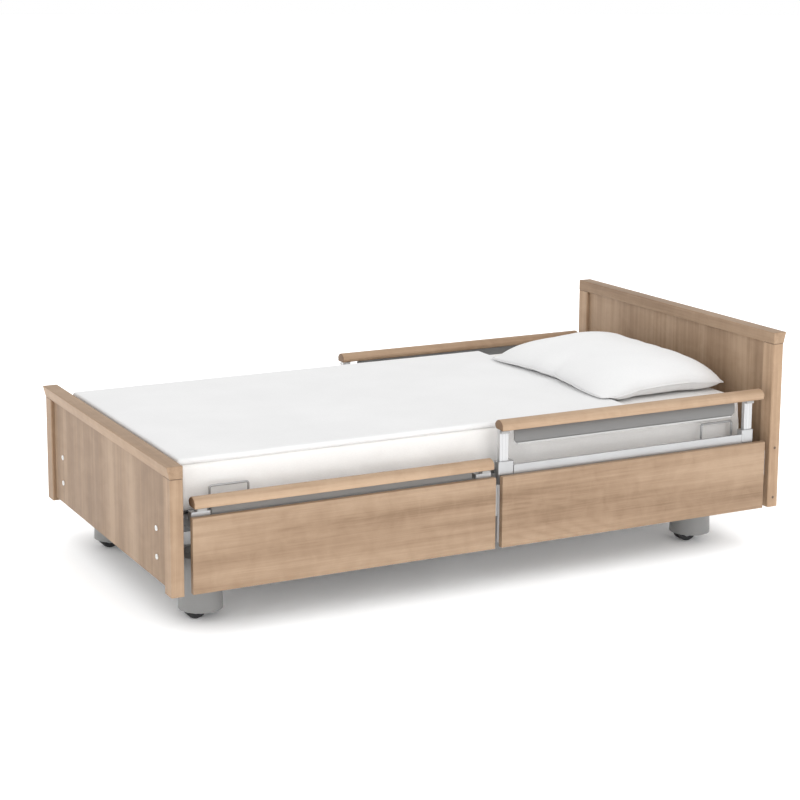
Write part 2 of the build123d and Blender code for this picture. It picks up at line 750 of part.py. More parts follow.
with BuildPart() as seat_platform:
    side_rails(THIGH_X + BACK_GAP, BACK_X - BACK_GAP, FRAME_TOP)
    slats(THIGH_X + 2 * BACK_GAP, BACK_X - 2 * BACK_GAP)
    hinge_shaft(BACK_X, -1)
    hinge_shaft(THIGH_X, 1)
seat_platform.part.label = "seat_platform"
export_step(seat_platform.part, "parts/seat_platform.step")

with BuildPart() as backrest_platform:
    side_rails(BACK_X + BACK_GAP, SURFACE_ENDS[1])
    slats(BACK_X + 2 * BACK_GAP, SURFACE_ENDS[1])
    hinge_eyes(BACK_X, BACK_X + BACK_GAP)
    cross_bar(BACK_X + CROSS_BAR_SET)
    drive_lever(
        BACK_X, BACK_LEVER_ANGLE, 1, DRIVE_Y, BACK_SLOT_HALF, BACK_SLOT, BACK_LEVER_HALF,
    )
backrest_platform.part.label = "backrest_platform"
export_step(backrest_platform.part, "parts/backrest_platform.step")

with BuildPart() as thigh_platform:
    side_rails(KNEE_X + KNEE_GAP, THIGH_X - BACK_GAP)
    slats(KNEE_X + KNEE_GAP, THIGH_X - 2 * BACK_GAP)
    hinge_eyes(THIGH_X, THIGH_X - BACK_GAP)
    hinge_shaft(KNEE_X, 1)
    cross_bar(THIGH_X - CROSS_BAR_SET)
    drive_lever(
        THIGH_X, THIGH_LEVER_ANGLE, -1, -DRIVE_Y, THIGH_SLOT_HALF, THIGH_SLOT,
        THIGH_LEVER_HALF,
    )
thigh_platform.part.label = "thigh_platform"
export_step(thigh_platform.part, "parts/thigh_platform.step")

with BuildPart() as calf_platform:
    side_rails(SURFACE_ENDS[0], KNEE_X - KNEE_GAP)
    slats(SURFACE_ENDS[0], KNEE_X - KNEE_GAP)
    hinge_eyes(KNEE_X, KNEE_X - KNEE_GAP)
calf_platform.part.label = "calf_platform"
export_step(calf_platform.part, "parts/calf_platform.step")

# Wire hoops beside the mattress, one on each side of the backrest and of the calf section.
for end, section in (("head", "backrest"), ("foot", "calf")):
    x_from, x_to = HOOP_SPANS[end]
    with BuildPart() as hoops:
        for side in (-1, 1):
            foot_z = SURFACE_TOP - SLAT_THICKNESS - HOOP_WIRE - WELD_GAP
            inner_y = side * (SLAT_HALF_LENGTH - HOOP_FOOT_REACH)
            with BuildLine() as wire:
                FilletPolyline(
                    (x_from + HOOP_WIRE, inner_y, foot_z),
                    (x_from + HOOP_WIRE, side * HOOP_Y, foot_z),
                    (x_from + HOOP_WIRE, side * HOOP_Y, HOOP_TOPS[end] - HOOP_WIRE),
                    (x_to - HOOP_WIRE, side * HOOP_Y, HOOP_TOPS[end] - HOOP_WIRE),
                    (x_to - HOOP_WIRE, side * HOOP_Y, foot_z),
                    (x_to - HOOP_WIRE, inner_y, foot_z),
                    radius=HOOP_BEND,
                )
            with BuildSketch(wire.line ^ 0) as wire_section:
                Circle(HOOP_WIRE)
            sweep(wire_section.sketch, path=wire.line)
    hoops.part.label = f"{section}_hoops"
    export_step(hoops.part, f"parts/{section}_hoops.step")


# ------------------------------------------------------------------ mattress and pillow
def mattress_section(start, start_fold, end, end_fold):
    """One section of the mattress; each fold is the slant of that end face in degrees."""
    height = MATTRESS_TOP - AXIS_Z
    foot = SURFACE_TOP - AXIS_Z
    start_slope = tan(radians(start_fold))
    end_slope = tan(radians(end_fold))
    with BuildPart() as section:
        prism_y(
            [
                (start + foot * start_slope, SURFACE_TOP),
                (end - foot * end_slope, SURFACE_TOP),
                (end - height * end_slope, MATTRESS_TOP),
                (start + height * start_slope, MATTRESS_TOP),
            ],
            -MATTRESS_HALF_WIDTH, MATTRESS_HALF_WIDTH,
        )
        long_edges = section.edges().filter_by(Axis.X).group_by(Axis.Z)[-1]
        fillet(long_edges, MATTRESS_ROUND)
    return section


BACK_FOLD = BACK_ANGLE / 2 + FOLD_SPARE_DEG
THIGH_FOLD = THIGH_ANGLE / 2 + FOLD_SPARE_DEG
MATTRESS_SECTIONS = {
    "calf": (MATTRESS_SPAN[0], 0, KNEE_X - FOLD_GAP, 0),
    "thigh": (KNEE_X + FOLD_GAP, 0, THIGH_X - FOLD_GAP, THIGH_FOLD),
    "seat": (THIGH_X + FOLD_GAP, THIGH_FOLD, BACK_X - FOLD_GAP, BACK_FOLD),
    "back": (BACK_X + FOLD_GAP, BACK_FOLD, MATTRESS_SPAN[1], 0),
}
for section_name, extent in MATTRESS_SECTIONS.items():
    mattress = mattress_section(*extent)
    mattress.part.label = f"mattress_{section_name}"
    export_step(mattress.part, f"parts/mattress_{section_name}.step")

with BuildPart() as pillow:
    with BuildSketch(Plane.XY.offset(MATTRESS_TOP)):
        with Locations((sum(PILLOW_X) / 2, sum(PILLOW_Y) / 2)):
            RectangleRounded(
                PILLOW_X[1] - PILLOW_X[0], PILLOW_Y[1] - PILLOW_Y[0], PILLOW_CORNER,
            )
    extrude(amount=PILLOW_TOP - MATTRESS_TOP)
    fillet(pillow.faces().sort_by(Axis.Z)[-1].edges(), PILLOW_ROUND)
pillow.part.label = "pillow"
export_step(pillow.part, "parts/pillow.step")


# ------------------------------------------------------------------ drives
def lever_pin_x(x_hinge, angle):
    """Where the lever's slot meets the rod's height at rest."""
    return x_hinge + LEVER_DROP * tan(radians(angle))


ROD_Z = AXIS_Z - LEVER_DROP
BACK_PIN_X = lever_pin_x(BACK_X, BACK_LEVER_ANGLE)
THIGH_PIN_X = lever_pin_x(THIGH_X, THIGH_LEVER_ANGLE)
BACK_STROKE = 2 * LEVER_DROP * tan(radians(BACK_ANGLE / 2))
THIGH_STROKE = 2 * LEVER_DROP * tan(radians(THIGH_ANGLE / 2))
print("backrest rod, m per rad", BACK_STROKE / 1000 / radians(BACK_ANGLE))
print("thigh rod, m per rad", THIGH_STROKE / 1000 / radians(THIGH_ANGLE))


def drive_rod(pin_x, toward, y, mouth, stroke):
    """A push rod with a forked end and a cross pin; toward is the direction it pushes."""
    cheek_in = LEVER_THICKNESS / 2 + EYE_SIDE_GAP
    cheek_out = cheek_in + CLEVIS_CHEEK
    fork_root = pin_x - toward * CLEVIS_REACH
    rod_tail = mouth - toward * (stroke + ROD_GUIDED)
    with BuildPart() as rod:
        disc_x(y, ROD_Z, ROD_RADIUS, rod_tail, fork_root)
        span(
            (fork_root, y - cheek_out, ROD_Z - CLEVIS_HALF_HEIGHT),
            (fork_root - toward * CLEVIS_ROOT, y + cheek_out, ROD_Z + CLEVIS_HALF_HEIGHT),
        )
        for side in (-1, 1):
            span(
                (fork_root, y + side * cheek_in, ROD_Z - CLEVIS_HALF_HEIGHT),
                (pin_x + toward * CLEVIS_NOSE, y + side * cheek_out, ROD_Z + CLEVIS_HALF_HEIGHT),
            )
        disc_y(pin_x, ROD_Z, PIN_RADIUS, y - cheek_out, y + cheek_out)
    return rod


backrest_rod = drive_rod(BACK_PIN_X, 1, DRIVE_Y, BACK_TUBE_MOUTH, BACK_STROKE)
backrest_rod.part.label = "backrest_rod"
export_step(backrest_rod.part, "parts/backrest_rod.step")

thigh_rod = drive_rod(THIGH_PIN_X, -1, -DRIVE_Y, THIGH_TUBE_MOUTH, THIGH_STROKE)
thigh_rod.part.label = "thigh_rod"
export_step(thigh_rod.part, "parts/thigh_rod.step")

# Each motor is a box with a guide tube for its rod and a pad under a cross tube.
with BuildPart() as drive_motors:
    for toward, y, mouth, stroke, cross_x in (
        (1, DRIVE_Y, BACK_TUBE_MOUTH, BACK_STROKE, FRAME_CROSS_X[2]),
        (-1, -DRIVE_Y, THIGH_TUBE_MOUTH, THIGH_STROKE, FRAME_CROSS_X[3]),
    ):
        tube_end = mouth - toward * (stroke + ROD_GUIDED + TUBE_SPARE)
        box_end = tube_end - toward * MOTOR_LENGTH
        span(
            (tube_end, y - MOTOR_HALF_WIDTH, MOTOR_Z[0]),
            (box_end, y + MOTOR_HALF_WIDTH, MOTOR_Z[1]),
        )
        disc_x(y, ROD_Z, DRIVE_TUBE_RADIUS, tube_end, mouth)
        disc_x(y, ROD_Z, ROD_BORE, tube_end, mouth, Mode.SUBTRACT)
        span(
            (cross_x - PAD_HALF, y - MOTOR_PAD_HALF_WIDTH, MOTOR_Z[1]),
            (cross_x + PAD_HALF, y + MOTOR_PAD_HALF_WIDTH, FRAME_BOTTOM),
        )
drive_motors.part.label = "drive_motors"
export_step(drive_motors.part, "parts/drive_motors.step")

with BuildPart() as control_box:
    span(*CONTROL_BOX)
    fillet(control_box.edges().filter_by(Axis.Z), CONTROL_BOX_CORNER)
    span(
        (FRAME_CROSS_X[2] - PAD_HALF, CONTROL_PAD_Y[0], CONTROL_BOX[1][2]),
        (FRAME_CROSS_X[2] + PAD_HALF, CONTROL_PAD_Y[1], FRAME_BOTTOM),
    )
control_box.part.label = "control_box"
export_step(control_box.part, "parts/control_box.step")


# ------------------------------------------------------------------ lifting columns
def column_tubes(stage):
    """One stage of both columns: stage 0 is the fixed outer tube, 2 the inner one."""
    shrink = 2 * stage * (COLUMN_WALL + COLUMN_GAP)
    size = (COLUMN_OUTER[0] - shrink, COLUMN_OUTER[1] - shrink)
    hole = (size[0] - 2 * COLUMN_WALL, size[1] - 2 * COLUMN_WALL)
    bottom = COLUMN_FLOOR + stage * COLUMN_STEP
    top = FRAME_BOTTOM if stage == 2 else COLUMN_TOP
    with BuildPart() as column:
        for x in (-COLUMN_X, COLUMN_X):
            tube_z((x, 0), size, hole, (bottom, top))
    return column


for stage, stage_name in enumerate(("outer", "middle", "inner")):
    column = column_tubes(stage)
    column.part.label = f"column_{stage_name}_tubes"
    export_step(column.part, f"parts/column_{stage_name}_tubes.step")

# ------------------------------------------------------------------ chassis
# Two long tubes carry the trays of the columns; a beam across each end carries two castors.
SPINE_X = (CASTOR_X["foot"] + BEAM_WIDTH / 2, CASTOR_X["head"] - BEAM_WIDTH / 2)
SPINE_INNER = SPINE_Y - SPINE_WIDTH / 2
TRAY_HALF_X = COLUMN_OUTER[0] / 2 + TRAY_MARGIN

with BuildPart() as chassis_frame:
    for side in (-1, 1):
        tube_x(
            (SPINE_X[0] + WELD_GAP, SPINE_X[1] - WELD_GAP),
            sorted((side * SPINE_INNER, side * (SPINE_INNER + SPINE_WIDTH))),
            BEAM_Z, FRAME_WALL,
        )
    for x in CASTOR_X.values():
        beam_end = CASTOR_Y - SOCKET_RADIUS - WELD_GAP
        tube_y(
            (x - BEAM_WIDTH / 2, x + BEAM_WIDTH / 2), (-beam_end, beam_end), BEAM_Z, FRAME_WALL,
        )
        for side in (-1, 1):
            disc_z(x, side * CASTOR_Y, SOCKET_RADIUS, SOCKET_BOTTOM, COVER_TOP - COVER_WALL)
            disc_z(
                x, side * CASTOR_Y, STEM_RADIUS + SHAFT_CLEARANCE,
                SOCKET_BOTTOM, STEM_TOP + STEM_HEADROOM, Mode.SUBTRACT,
            )
    for x in (-COLUMN_X, COLUMN_X):
        span(
            (x - TRAY_HALF_X, -SPINE_INNER + WELD_GAP, COLUMN_FLOOR - TRAY_THICKNESS),
            (x + TRAY_HALF_X, SPINE_INNER - WELD_GAP, COLUMN_FLOOR),
        )
        for side in (-1, 1):
            span(
                (x - TRAY_HALF_X, side * (SPINE_INNER - WELD_GAP), COLUMN_FLOOR + WELD_GAP),
                (x + TRAY_HALF_X, side * (SPINE_INNER - WELD_GAP - TRAY_CHEEK), BEAM_Z[1]),
            )
chassis_frame.part.label = "chassis_frame"
export_step(chassis_frame.part, "parts/chassis_frame.step")

# Pot-shaped castor covers: wider at the mouth, closed on top, notched for the cross beam.
with BuildPart() as castor_covers:
    for x in CASTOR_X.values():
        for side in (-1, 1):
            y = side * CASTOR_Y
            mouth, crown = COVER_RADII
            inner_bevel = COVER_BEVEL + COVER_WALL / 2
            notch_near, notch_far = COVER_NOTCH_Y
            notch_half = BEAM_WIDTH / 2 + COVER_NOTCH_GAP
            with BuildSketch(Plane((x, y, 0), x_dir=(1, 0, 0), z_dir=(0, -1, 0))) as profile:
                with BuildLine():
                    Polyline(
                        (0, COVER_TOP),
                        (crown - COVER_BEVEL, COVER_TOP),
                        (crown, COVER_TOP - COVER_BEVEL),
                        (mouth, COVER_BOTTOM),
                        (mouth - COVER_WALL, COVER_BOTTOM),
                        (crown - COVER_WALL, COVER_TOP - inner_bevel),
                        (crown - inner_bevel, COVER_TOP - COVER_WALL),
                        (0, COVER_TOP - COVER_WALL),
                        close=True,
                    )
                make_face()
            revolve(profile.sketch, Axis((x, y, 0), (0, 0, 1)))
            span(
                (x - notch_half, y - side * notch_near, COVER_NOTCH_BOTTOM),
                (x + notch_half, y - side * notch_far, BEAM_Z[1] + COVER_NOTCH_GAP),
                Mode.SUBTRACT,
            )
castor_covers.part.label = "castor_covers"
export_step(castor_covers.part, "parts/castor_covers.step")

# ------------------------------------------------------------------ castors
WHEEL_INNER = LEG_HALF_THICKNESS + WHEEL_SIDE_GAP
WHEEL_OUTER = WHEEL_INNER + WHEEL_WIDTH

for end, x in CASTOR_X.items():
    for side_name, side in SIDES.items():
        y = side * CASTOR_Y
        axle_x = x - WHEEL_TRAIL

        with BuildPart() as castor_fork:
            disc_z(x, y, STEM_RADIUS, CROWN_Z[1], STEM_TOP)
            disc_z(x, y, CROWN_RADIUS, *CROWN_Z)
            prism_y(
                [
                    (axle_x - FORK_FOOT_HALF, WHEEL_RADIUS - FORK_FOOT_HALF),
                    (axle_x + FORK_FOOT_HALF, WHEEL_RADIUS - FORK_FOOT_HALF),
                    (x + FORK_ROOT[1], CROWN_Z[0] + FORK_OVERLAP),
                    (x + FORK_ROOT[0], CROWN_Z[0] + FORK_OVERLAP),
                    (axle_x + FORK_HEEL[0], CROWN_Z[0] - FORK_HEEL[1]),
                ],
                y - LEG_HALF_THICKNESS, y + LEG_HALF_THICKNESS,
            )
            disc_y(
                axle_x, WHEEL_RADIUS, AXLE_RADIUS + SHAFT_CLEARANCE,
                y - LEG_HALF_THICKNESS, y + LEG_HALF_THICKNESS, Mode.SUBTRACT,
            )
        castor_fork.part.label = f"castor_fork_{end}_{side_name}"
        export_step(castor_fork.part, f"parts/castor_fork_{end}_{side_name}.step")

        with BuildPart() as castor_wheels:
            for face in (-1, 1):
                disc_y(
                    axle_x, WHEEL_RADIUS, WHEEL_RADIUS, y + face * WHEEL_INNER,
                    y + face * WHEEL_OUTER,
                )
            rims = castor_wheels.edges().filter_by(GeomType.CIRCLE)
            fillet(rims, WHEEL_ROUND)
            for face in (-1, 1):
                disc_y(
                    axle_x, WHEEL_RADIUS, HUB_RADIUS, y + face * (WHEEL_OUTER - HUB_DEPTH),
                    y + face * WHEEL_OUTER, Mode.SUBTRACT,
                )
            disc_y(
                axle_x, WHEEL_RADIUS, AXLE_RADIUS,
                y - WHEEL_INNER - AXLE_OVERLAP, y + WHEEL_INNER + AXLE_OVERLAP,
            )
        castor_wheels.part.label = f"castor_wheels_{end}_{side_name}"
        export_step(castor_wheels.part, f"parts/castor_wheels_{end}_{side_name}.step")
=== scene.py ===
import math

import bpy
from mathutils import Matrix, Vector, noise


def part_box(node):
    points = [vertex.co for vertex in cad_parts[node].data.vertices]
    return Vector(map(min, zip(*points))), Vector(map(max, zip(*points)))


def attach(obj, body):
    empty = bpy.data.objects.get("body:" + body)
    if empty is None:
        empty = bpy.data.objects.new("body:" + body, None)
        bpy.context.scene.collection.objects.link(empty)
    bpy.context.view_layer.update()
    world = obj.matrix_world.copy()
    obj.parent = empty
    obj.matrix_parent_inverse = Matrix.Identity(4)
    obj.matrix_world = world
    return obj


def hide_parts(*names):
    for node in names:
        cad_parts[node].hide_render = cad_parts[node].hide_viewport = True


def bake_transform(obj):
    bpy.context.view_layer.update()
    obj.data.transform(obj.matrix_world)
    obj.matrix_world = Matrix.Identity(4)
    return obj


# Looks of a low care bed: wooden end boards and side panels, telescopic guards, mattress,
# duvet and pillow. Metres; +X runs to the head end, -Y is the side the camera sees, +Z is up.

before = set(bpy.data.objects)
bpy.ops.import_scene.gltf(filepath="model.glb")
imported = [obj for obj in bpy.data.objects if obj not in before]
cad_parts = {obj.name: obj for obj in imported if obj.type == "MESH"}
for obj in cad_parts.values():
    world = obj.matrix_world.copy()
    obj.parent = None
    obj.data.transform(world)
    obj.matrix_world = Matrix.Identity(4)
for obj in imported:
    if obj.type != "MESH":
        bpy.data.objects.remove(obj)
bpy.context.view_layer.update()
SIDES = {"left": -1, "right": 1}
ENDS = ("foot", "head")


# ---------------------------------------------------------------- materials
class Finish:
    """A procedural material: one Principled shader fed by small chains of nodes."""

    def __init__(self, name, color=(0.8, 0.8, 0.8), rough=0.5, **sockets):
        self.mat = bpy.data.materials.new(name)
        self.mat.use_nodes = True
        self.tree = self.mat.node_tree
        self.shader = self.tree.nodes["Principled BSDF"]
        self.shader.inputs["Base Color"].default_value = (*color, 1)
        self.shader.inputs["Roughness"].default_value = rough
        for socket, value in sockets.items():
            self.shader.inputs[socket.replace("_", " ")].default_value = value

    def node(self, kind, out=0, props=None, **inputs):
        """Adds a node; inputs are numbers, vectors or other nodes' outputs."""
        made = self.tree.nodes.new("ShaderNode" + kind)
        for key, value in (props or {}).items():
            setattr(made, key, value)
        for key, value in inputs.items():
            number = key[0] == "n" and key[1:].isdigit()
            socket = made.inputs[int(key[1:])] if number else made.inputs[key.replace("_", " ")]
            if isinstance(value, bpy.types.NodeSocket):
                self.tree.links.new(value, socket)
            else:
                socket.default_value = value
        return made.outputs[out]

    def feed(self, socket, value):
        self.tree.links.new(value, self.shader.inputs[socket])

    def math(self, operation, a, b=0.0, clamp=False):
        return self.node("Math", props={"operation": operation, "use_clamp": clamp}, n0=a, n1=b)

    def axis(self, number):
        """One object coordinate, in metres."""
        coords = self.node("TexCoord", out="Object")
        return self.node("SeparateXYZ", out=number, Vector=coords)

    def place(self, stretch):
        coords = self.node("TexCoord", out="Object")
        return self.node("Mapping", Vector=coords, Scale=stretch)

    def noise(self, stretch, detail=3.0, rough=0.5, warp=0.0):
        """Noise from 0 to 1 with the given number of waves per metre along each axis."""
        return self.node(
            "TexNoise", Vector=self.place(stretch), Scale=1.0, Detail=detail,
            Roughness=rough, Distortion=warp,
        )

    def ramp(self, factor, *stops):
        """Colours or greys along a factor; each stop is (place, value)."""
        made = self.tree.nodes.new("ShaderNodeValToRGB")
        elements = made.color_ramp.elements
        while len(elements) < len(stops):
            elements.new(0.5)
        for element, (place, value) in zip(elements, stops):
            element.position = place
            color = value if isinstance(value, tuple) else (value, value, value)
            element.color = (*color, 1)
        self.tree.links.new(factor, made.inputs[0])
        return made.outputs[0]

    def mix(self, factor, a, b, kind="MIX"):
        a = (*a, 1) if isinstance(a, tuple) else a
        b = (*b, 1) if isinstance(b, tuple) else b
        props = {"data_type": "RGBA", "blend_type": kind}
        return self.node("Mix", out=2, props=props, n0=factor, n6=a, n7=b)

    def bump(self, height, strength, distance):
        made = self.node("Bump", Strength=strength, Distance=distance, Height=height)
        self.feed("Normal", made)

    def mask_between(self, value, low, high):
        """1 where value is between low and high."""
        above = self.math("GREATER_THAN", value, low)
        below = self.math("LESS_THAN", value, high)
        return self.math("MULTIPLY", above, below)


RING_WAVES = 120.0  # radians of growth ring per metre across the grain
RING_DRIFT = 74.0  # how far noise bends the rings, in radians
WOOD_LIGHT = (0.436, 0.308, 0.208)
WOOD_MIDDLE = (0.352, 0.239, 0.155)
WOOD_DARK = (0.262, 0.170, 0.105)
PORE_COLOR = (0.24, 0.15, 0.09)
# Colour of the painted shadow lines under a board's cap and along the edges of its recessed panel.
SHADOW_LINE_COLOR = (0.10, 0.062, 0.038)
END_GRAIN_COLOR = (0.165, 0.098, 0.056)


def wood(name, grain, tone=1.0, rings=0.0, joints=(), ends=None):
    """Beech laminate: soft bands, fine streaks, cross flecks and pores along the grain axis.
    Each shadow line is (axis, low, high): a painted shadow line where that coordinate's size is
    between them.
    The end grain beyond the two ends, given along the grain axis, is darker."""
    finish = Finish(name, rough=0.5, Specular_IOR_Level=0.25)

    def stretch(across, along):
        return [along if number == grain else across for number in range(3)]

    def centred(factor, weight):
        return finish.math("MULTIPLY", finish.math("SUBTRACT", factor, 0.5), weight)

    bands = finish.noise(stretch(11.0, 0.7), detail=2.0, rough=0.45, warp=0.25)
    streaks = finish.noise(stretch(70.0, 1.9), detail=4.0, rough=0.62)
    fine = finish.noise(stretch(420.0, 8.0), detail=2.0)
    flecks = finish.noise(stretch(15.0, 20.0), detail=3.0, rough=0.55, warp=0.6)
    pores = finish.noise(stretch(1300.0, 60.0), detail=1.0)
    value = finish.math("ADD", centred(bands, 0.80), 0.5)
    for factor, weight in ((streaks, 0.50), (fine, 0.16), (flecks, 0.26)):
        value = finish.math("ADD", value, centred(factor, weight))
    if rings:
        drift = finish.noise(stretch(4.6, 0.9), detail=1.5, rough=0.4)
        fade = finish.ramp(finish.noise(stretch(5.0, 1.6), detail=1.0), (0.42, 0.0), (0.62, 1.0))
        across = finish.math("MULTIPLY", finish.axis(2 if grain == 0 else 1), RING_WAVES)
        phase = finish.math("ADD", across, finish.math("MULTIPLY", drift, RING_DRIFT))
        crest = finish.math("POWER", finish.math("ABSOLUTE", finish.math("SINE", phase)), 5.0)
        line = finish.math("MULTIPLY", crest, finish.math("MULTIPLY", fade, rings))
        value = finish.math("SUBTRACT", value, line)
    light, middle, dark = (
        tuple(part * tone for part in shade) for shade in (WOOD_LIGHT, WOOD_MIDDLE, WOOD_DARK)
    )
    color = finish.ramp(value, (0.30, dark), (0.50, middle), (0.70, light))
    pore_mask = finish.ramp(pores, (0.66, 0.0), (0.74, 1.0))
    color = finish.mix(finish.math("MULTIPLY", pore_mask, 0.22), color, PORE_COLOR)
    # Painted shade: a dark line under the cap and along the recessed panel's edges, where shadow
    # falls.
    for axis, low, high in joints:
        size = finish.math("ABSOLUTE", finish.axis(axis))
        line = finish.math("MULTIPLY", finish.mask_between(size, low, high), 0.66)
        color = finish.mix(line, color, SHADOW_LINE_COLOR)
    if ends:
        inside = finish.mask_between(finish.axis(grain), *ends)
        cut = finish.math("MULTIPLY", finish.math("SUBTRACT", 1.0, inside), 0.75)
        color = finish.mix(cut, color, END_GRAIN_COLOR)
    finish.feed("Base Color", color)
    finish.feed("Roughness", finish.ramp(streaks, (0.3, 0.44), (0.7, 0.56)))
    height = finish.math("SUBTRACT", fine, finish.math("MULTIPLY", pore_mask, 0.6))
    finish.bump(height, 0.10, 0.0004)
    return finish.mat


def aluminium(name, brushed, color=(0.50, 0.504, 0.51), rough=0.36):
    """Anodised aluminium with fine drawing lines along one axis."""
    finish = Finish(name, color, rough, Metallic=0.85)
    stretch = [6.0 if number == brushed else 1400.0 for number in range(3)]
    lines = finish.noise(stretch, detail=2.0)
    cloud = finish.noise((14.0, 14.0, 14.0), detail=2.0)
    finish.feed("Roughness", finish.ramp(lines, (0.3, rough - 0.05), (0.7, rough + 0.12)))
    shade = finish.ramp(cloud, (0.3, tuple(0.94 * part for part in color)), (0.7, color))
    finish.feed("Base Color", shade)
    finish.bump(lines, 0.05, 0.0003)
    return finish.mat


def painted(name, color, rough=0.42, grit=0.10, metallic=0.0):
    """Powder coat: an even colour with a fine orange-peel texture."""
    finish = Finish(name, color, rough, Metallic=metallic)
    peel = finish.noise((820.0, 820.0, 820.0), detail=2.0)
    cloud = finish.noise((9.0, 9.0, 9.0), detail=3.0)
    shade = finish.ramp(cloud, (0.3, tuple(0.93 * part for part in color)), (0.7, color))
    finish.feed("Base Color", shade)
    finish.feed("Roughness", finish.ramp(peel, (0.3, rough - 0.06), (0.7, rough + 0.10)))
    finish.bump(peel, grit, 0.0004)
    return finish.mat


def moulded(name, color, rough=0.5, grain=1100.0):
    """Moulded plastic with a fine spark-eroded grain and a little wear in its gloss."""
    finish = Finish(name, color, rough, Specular_IOR_Level=0.45)
    spark = finish.noise((grain, grain, grain), detail=3.0, rough=0.6)
    wear = finish.noise((22.0, 22.0, 60.0), detail=4.0)
    finish.feed("Roughness", finish.ramp(wear, (0.3, rough - 0.08), (0.7, rough + 0.10)))
    shade = finish.ramp(spark, (0.3, tuple(0.92 * part for part in color)), (0.7, color))
    finish.feed("Base Color", shade)
    finish.bump(spark, 0.14, 0.0003)
    return finish.mat


def guard_blade_finish(name, node, lit_paint_tone):
    """Grey powder coat on the blade between two aluminium posts, told apart by x, with painted
    shade lines for the posts' grooves and a painted highlight on the blade's lower lip.
    """
    low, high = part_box(node)
    finish = Finish(name, rough=0.4)
    x = finish.axis(0)
    z = finish.axis(2)
    edge = POST_WIDTH + POST_SPARE
    first = finish.mask_between(x, low.x - POST_SPARE, low.x + edge)
    second = finish.mask_between(x, high.x - edge, high.x + POST_SPARE)
    posts = finish.math("ADD", first, second, clamp=True)
    # Painted shade: thin dark lines where the posts' grooves lie in shadow.
    groove_shade = None
    for middle in (low.x + POST_WIDTH / 2, high.x - POST_WIDTH / 2):
        reach = finish.math("ABSOLUTE", finish.math("SUBTRACT", x, middle))
        for place, width in GROOVE_SHADE_LINES:
            line = finish.mask_between(reach, place, place + width)
            groove_shade = line if groove_shade is None else finish.math("ADD", groove_shade, line, clamp=True)
    lip_top = high.z - BLADE_HEIGHT + LIP_HEIGHT
    lip_highlight = finish.math("LESS_THAN", z, lip_top)
    peel = finish.noise((820.0, 820.0, 820.0), detail=2.0)
    lines = finish.noise((900.0, 900.0, 5.0), detail=2.0)
    cloud = finish.noise((3.0, 9.0, 30.0), detail=2.0)
    # The paint's tone carries the painted light and shade of this end's blade.
    deep = tuple(lit_paint_tone * part for part in (0.93, 0.925, 0.91))
    flat = tuple(lit_paint_tone * part for part in (1.0, 0.993, 0.98))
    paint = finish.ramp(cloud, (0.3, deep), (0.7, flat))
    # Painted highlight: the lower lip gets a lighter grey where it catches the light from above.
    paint = finish.mix(lip_highlight, paint, (0.50, 0.50, 0.495))
    metal = finish.ramp(lines, (0.3, (0.56, 0.565, 0.57)), (0.7, (0.64, 0.643, 0.65)))
    # The posts are darkened along the painted groove shade lines.
    metal = finish.mix(finish.math("MULTIPLY", groove_shade, 0.55), metal, (0.16, 0.16, 0.165))
    finish.feed("Base Color", finish.mix(posts, paint, metal))
    finish.feed("Metallic", finish.math("MULTIPLY", posts, 0.80))
    height = finish.mix(posts, peel, lines)
    finish.bump(height, 0.08, 0.0003)
    finish.feed("Roughness", finish.ramp(height, (0.3, 0.36), (0.7, 0.48)))
    return finish.mat


def wheel_finish(name, node):
    """Black rubber tread round a light grey hub, told apart by distance from the axle."""
    low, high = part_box(node)
    finish = Finish(name, rough=0.6)
    dx = finish.math("SUBTRACT", finish.axis(0), (low.x + high.x) / 2)
    dz = finish.math("SUBTRACT", finish.axis(2), (low.z + high.z) / 2)
    square = finish.math("ADD", finish.math("MULTIPLY", dx, dx), finish.math("MULTIPLY", dz, dz))
    radius = finish.math("SQRT", square)
    hub = finish.math("LESS_THAN", radius, HUB_RADIUS)
    scuff = finish.noise((120.0, 300.0, 120.0), detail=4.0)
    rubber = finish.ramp(scuff, (0.35, (0.020, 0.020, 0.021)), (0.7, (0.040, 0.040, 0.042)))
    finish.feed("Base Color", finish.mix(hub, rubber, (0.46, 0.46, 0.47)))
    finish.feed("Roughness", finish.ramp(scuff, (0.3, 0.50), (0.7, 0.68)))
    finish.bump(scuff, 0.2, 0.0004)
    return finish.mat


def woven(name, color, threads, sheen=0.25, rough=0.85, depth=0.35):
    """Cotton weave: threads over and under in object space, with soft uneven slubs."""
    finish = Finish(name, color, rough, Sheen_Weight=sheen, Specular_IOR_Level=0.2)
    warp = finish.math("SINE", finish.math("MULTIPLY", finish.axis(0), threads))
    weft = finish.math("SINE", finish.math("MULTIPLY", finish.axis(1), threads))
    rise = finish.math("SINE", finish.math("MULTIPLY", finish.axis(2), threads))
    weave = finish.math("ADD", finish.math("MULTIPLY", warp, weft), rise)
    slubs = finish.noise((160.0, 420.0, 300.0), detail=3.0)
    cloud = finish.noise((5.0, 5.0, 5.0), detail=2.0)
    height = finish.math("ADD", finish.math("MULTIPLY", weave, 0.25), slubs)
    shade = finish.ramp(cloud, (0.3, tuple(0.965 * part for part in color)), (0.7, color))
    thread = finish.ramp(slubs, (0.35, 0.965), (0.7, 1.0))
    finish.feed("Base Color", finish.mix(1.0, shade, thread, "MULTIPLY"))
    finish.feed("Roughness", finish.ramp(slubs, (0.3, rough - 0.05), (0.7, rough + 0.05)))
    finish.bump(height, depth, 0.0005)
    return finish.mat


POST_WIDTH = 0.030  # a guard's sliding post, along X
BLADE_HEIGHT = 0.055
LIP_HEIGHT = 0.005
GROOVE_SHADE_LINES = ((0.0045, 0.0009), (0.0100, 0.0007))  # painted shade lines of the posts' grooves: from a post's middle, and how wide
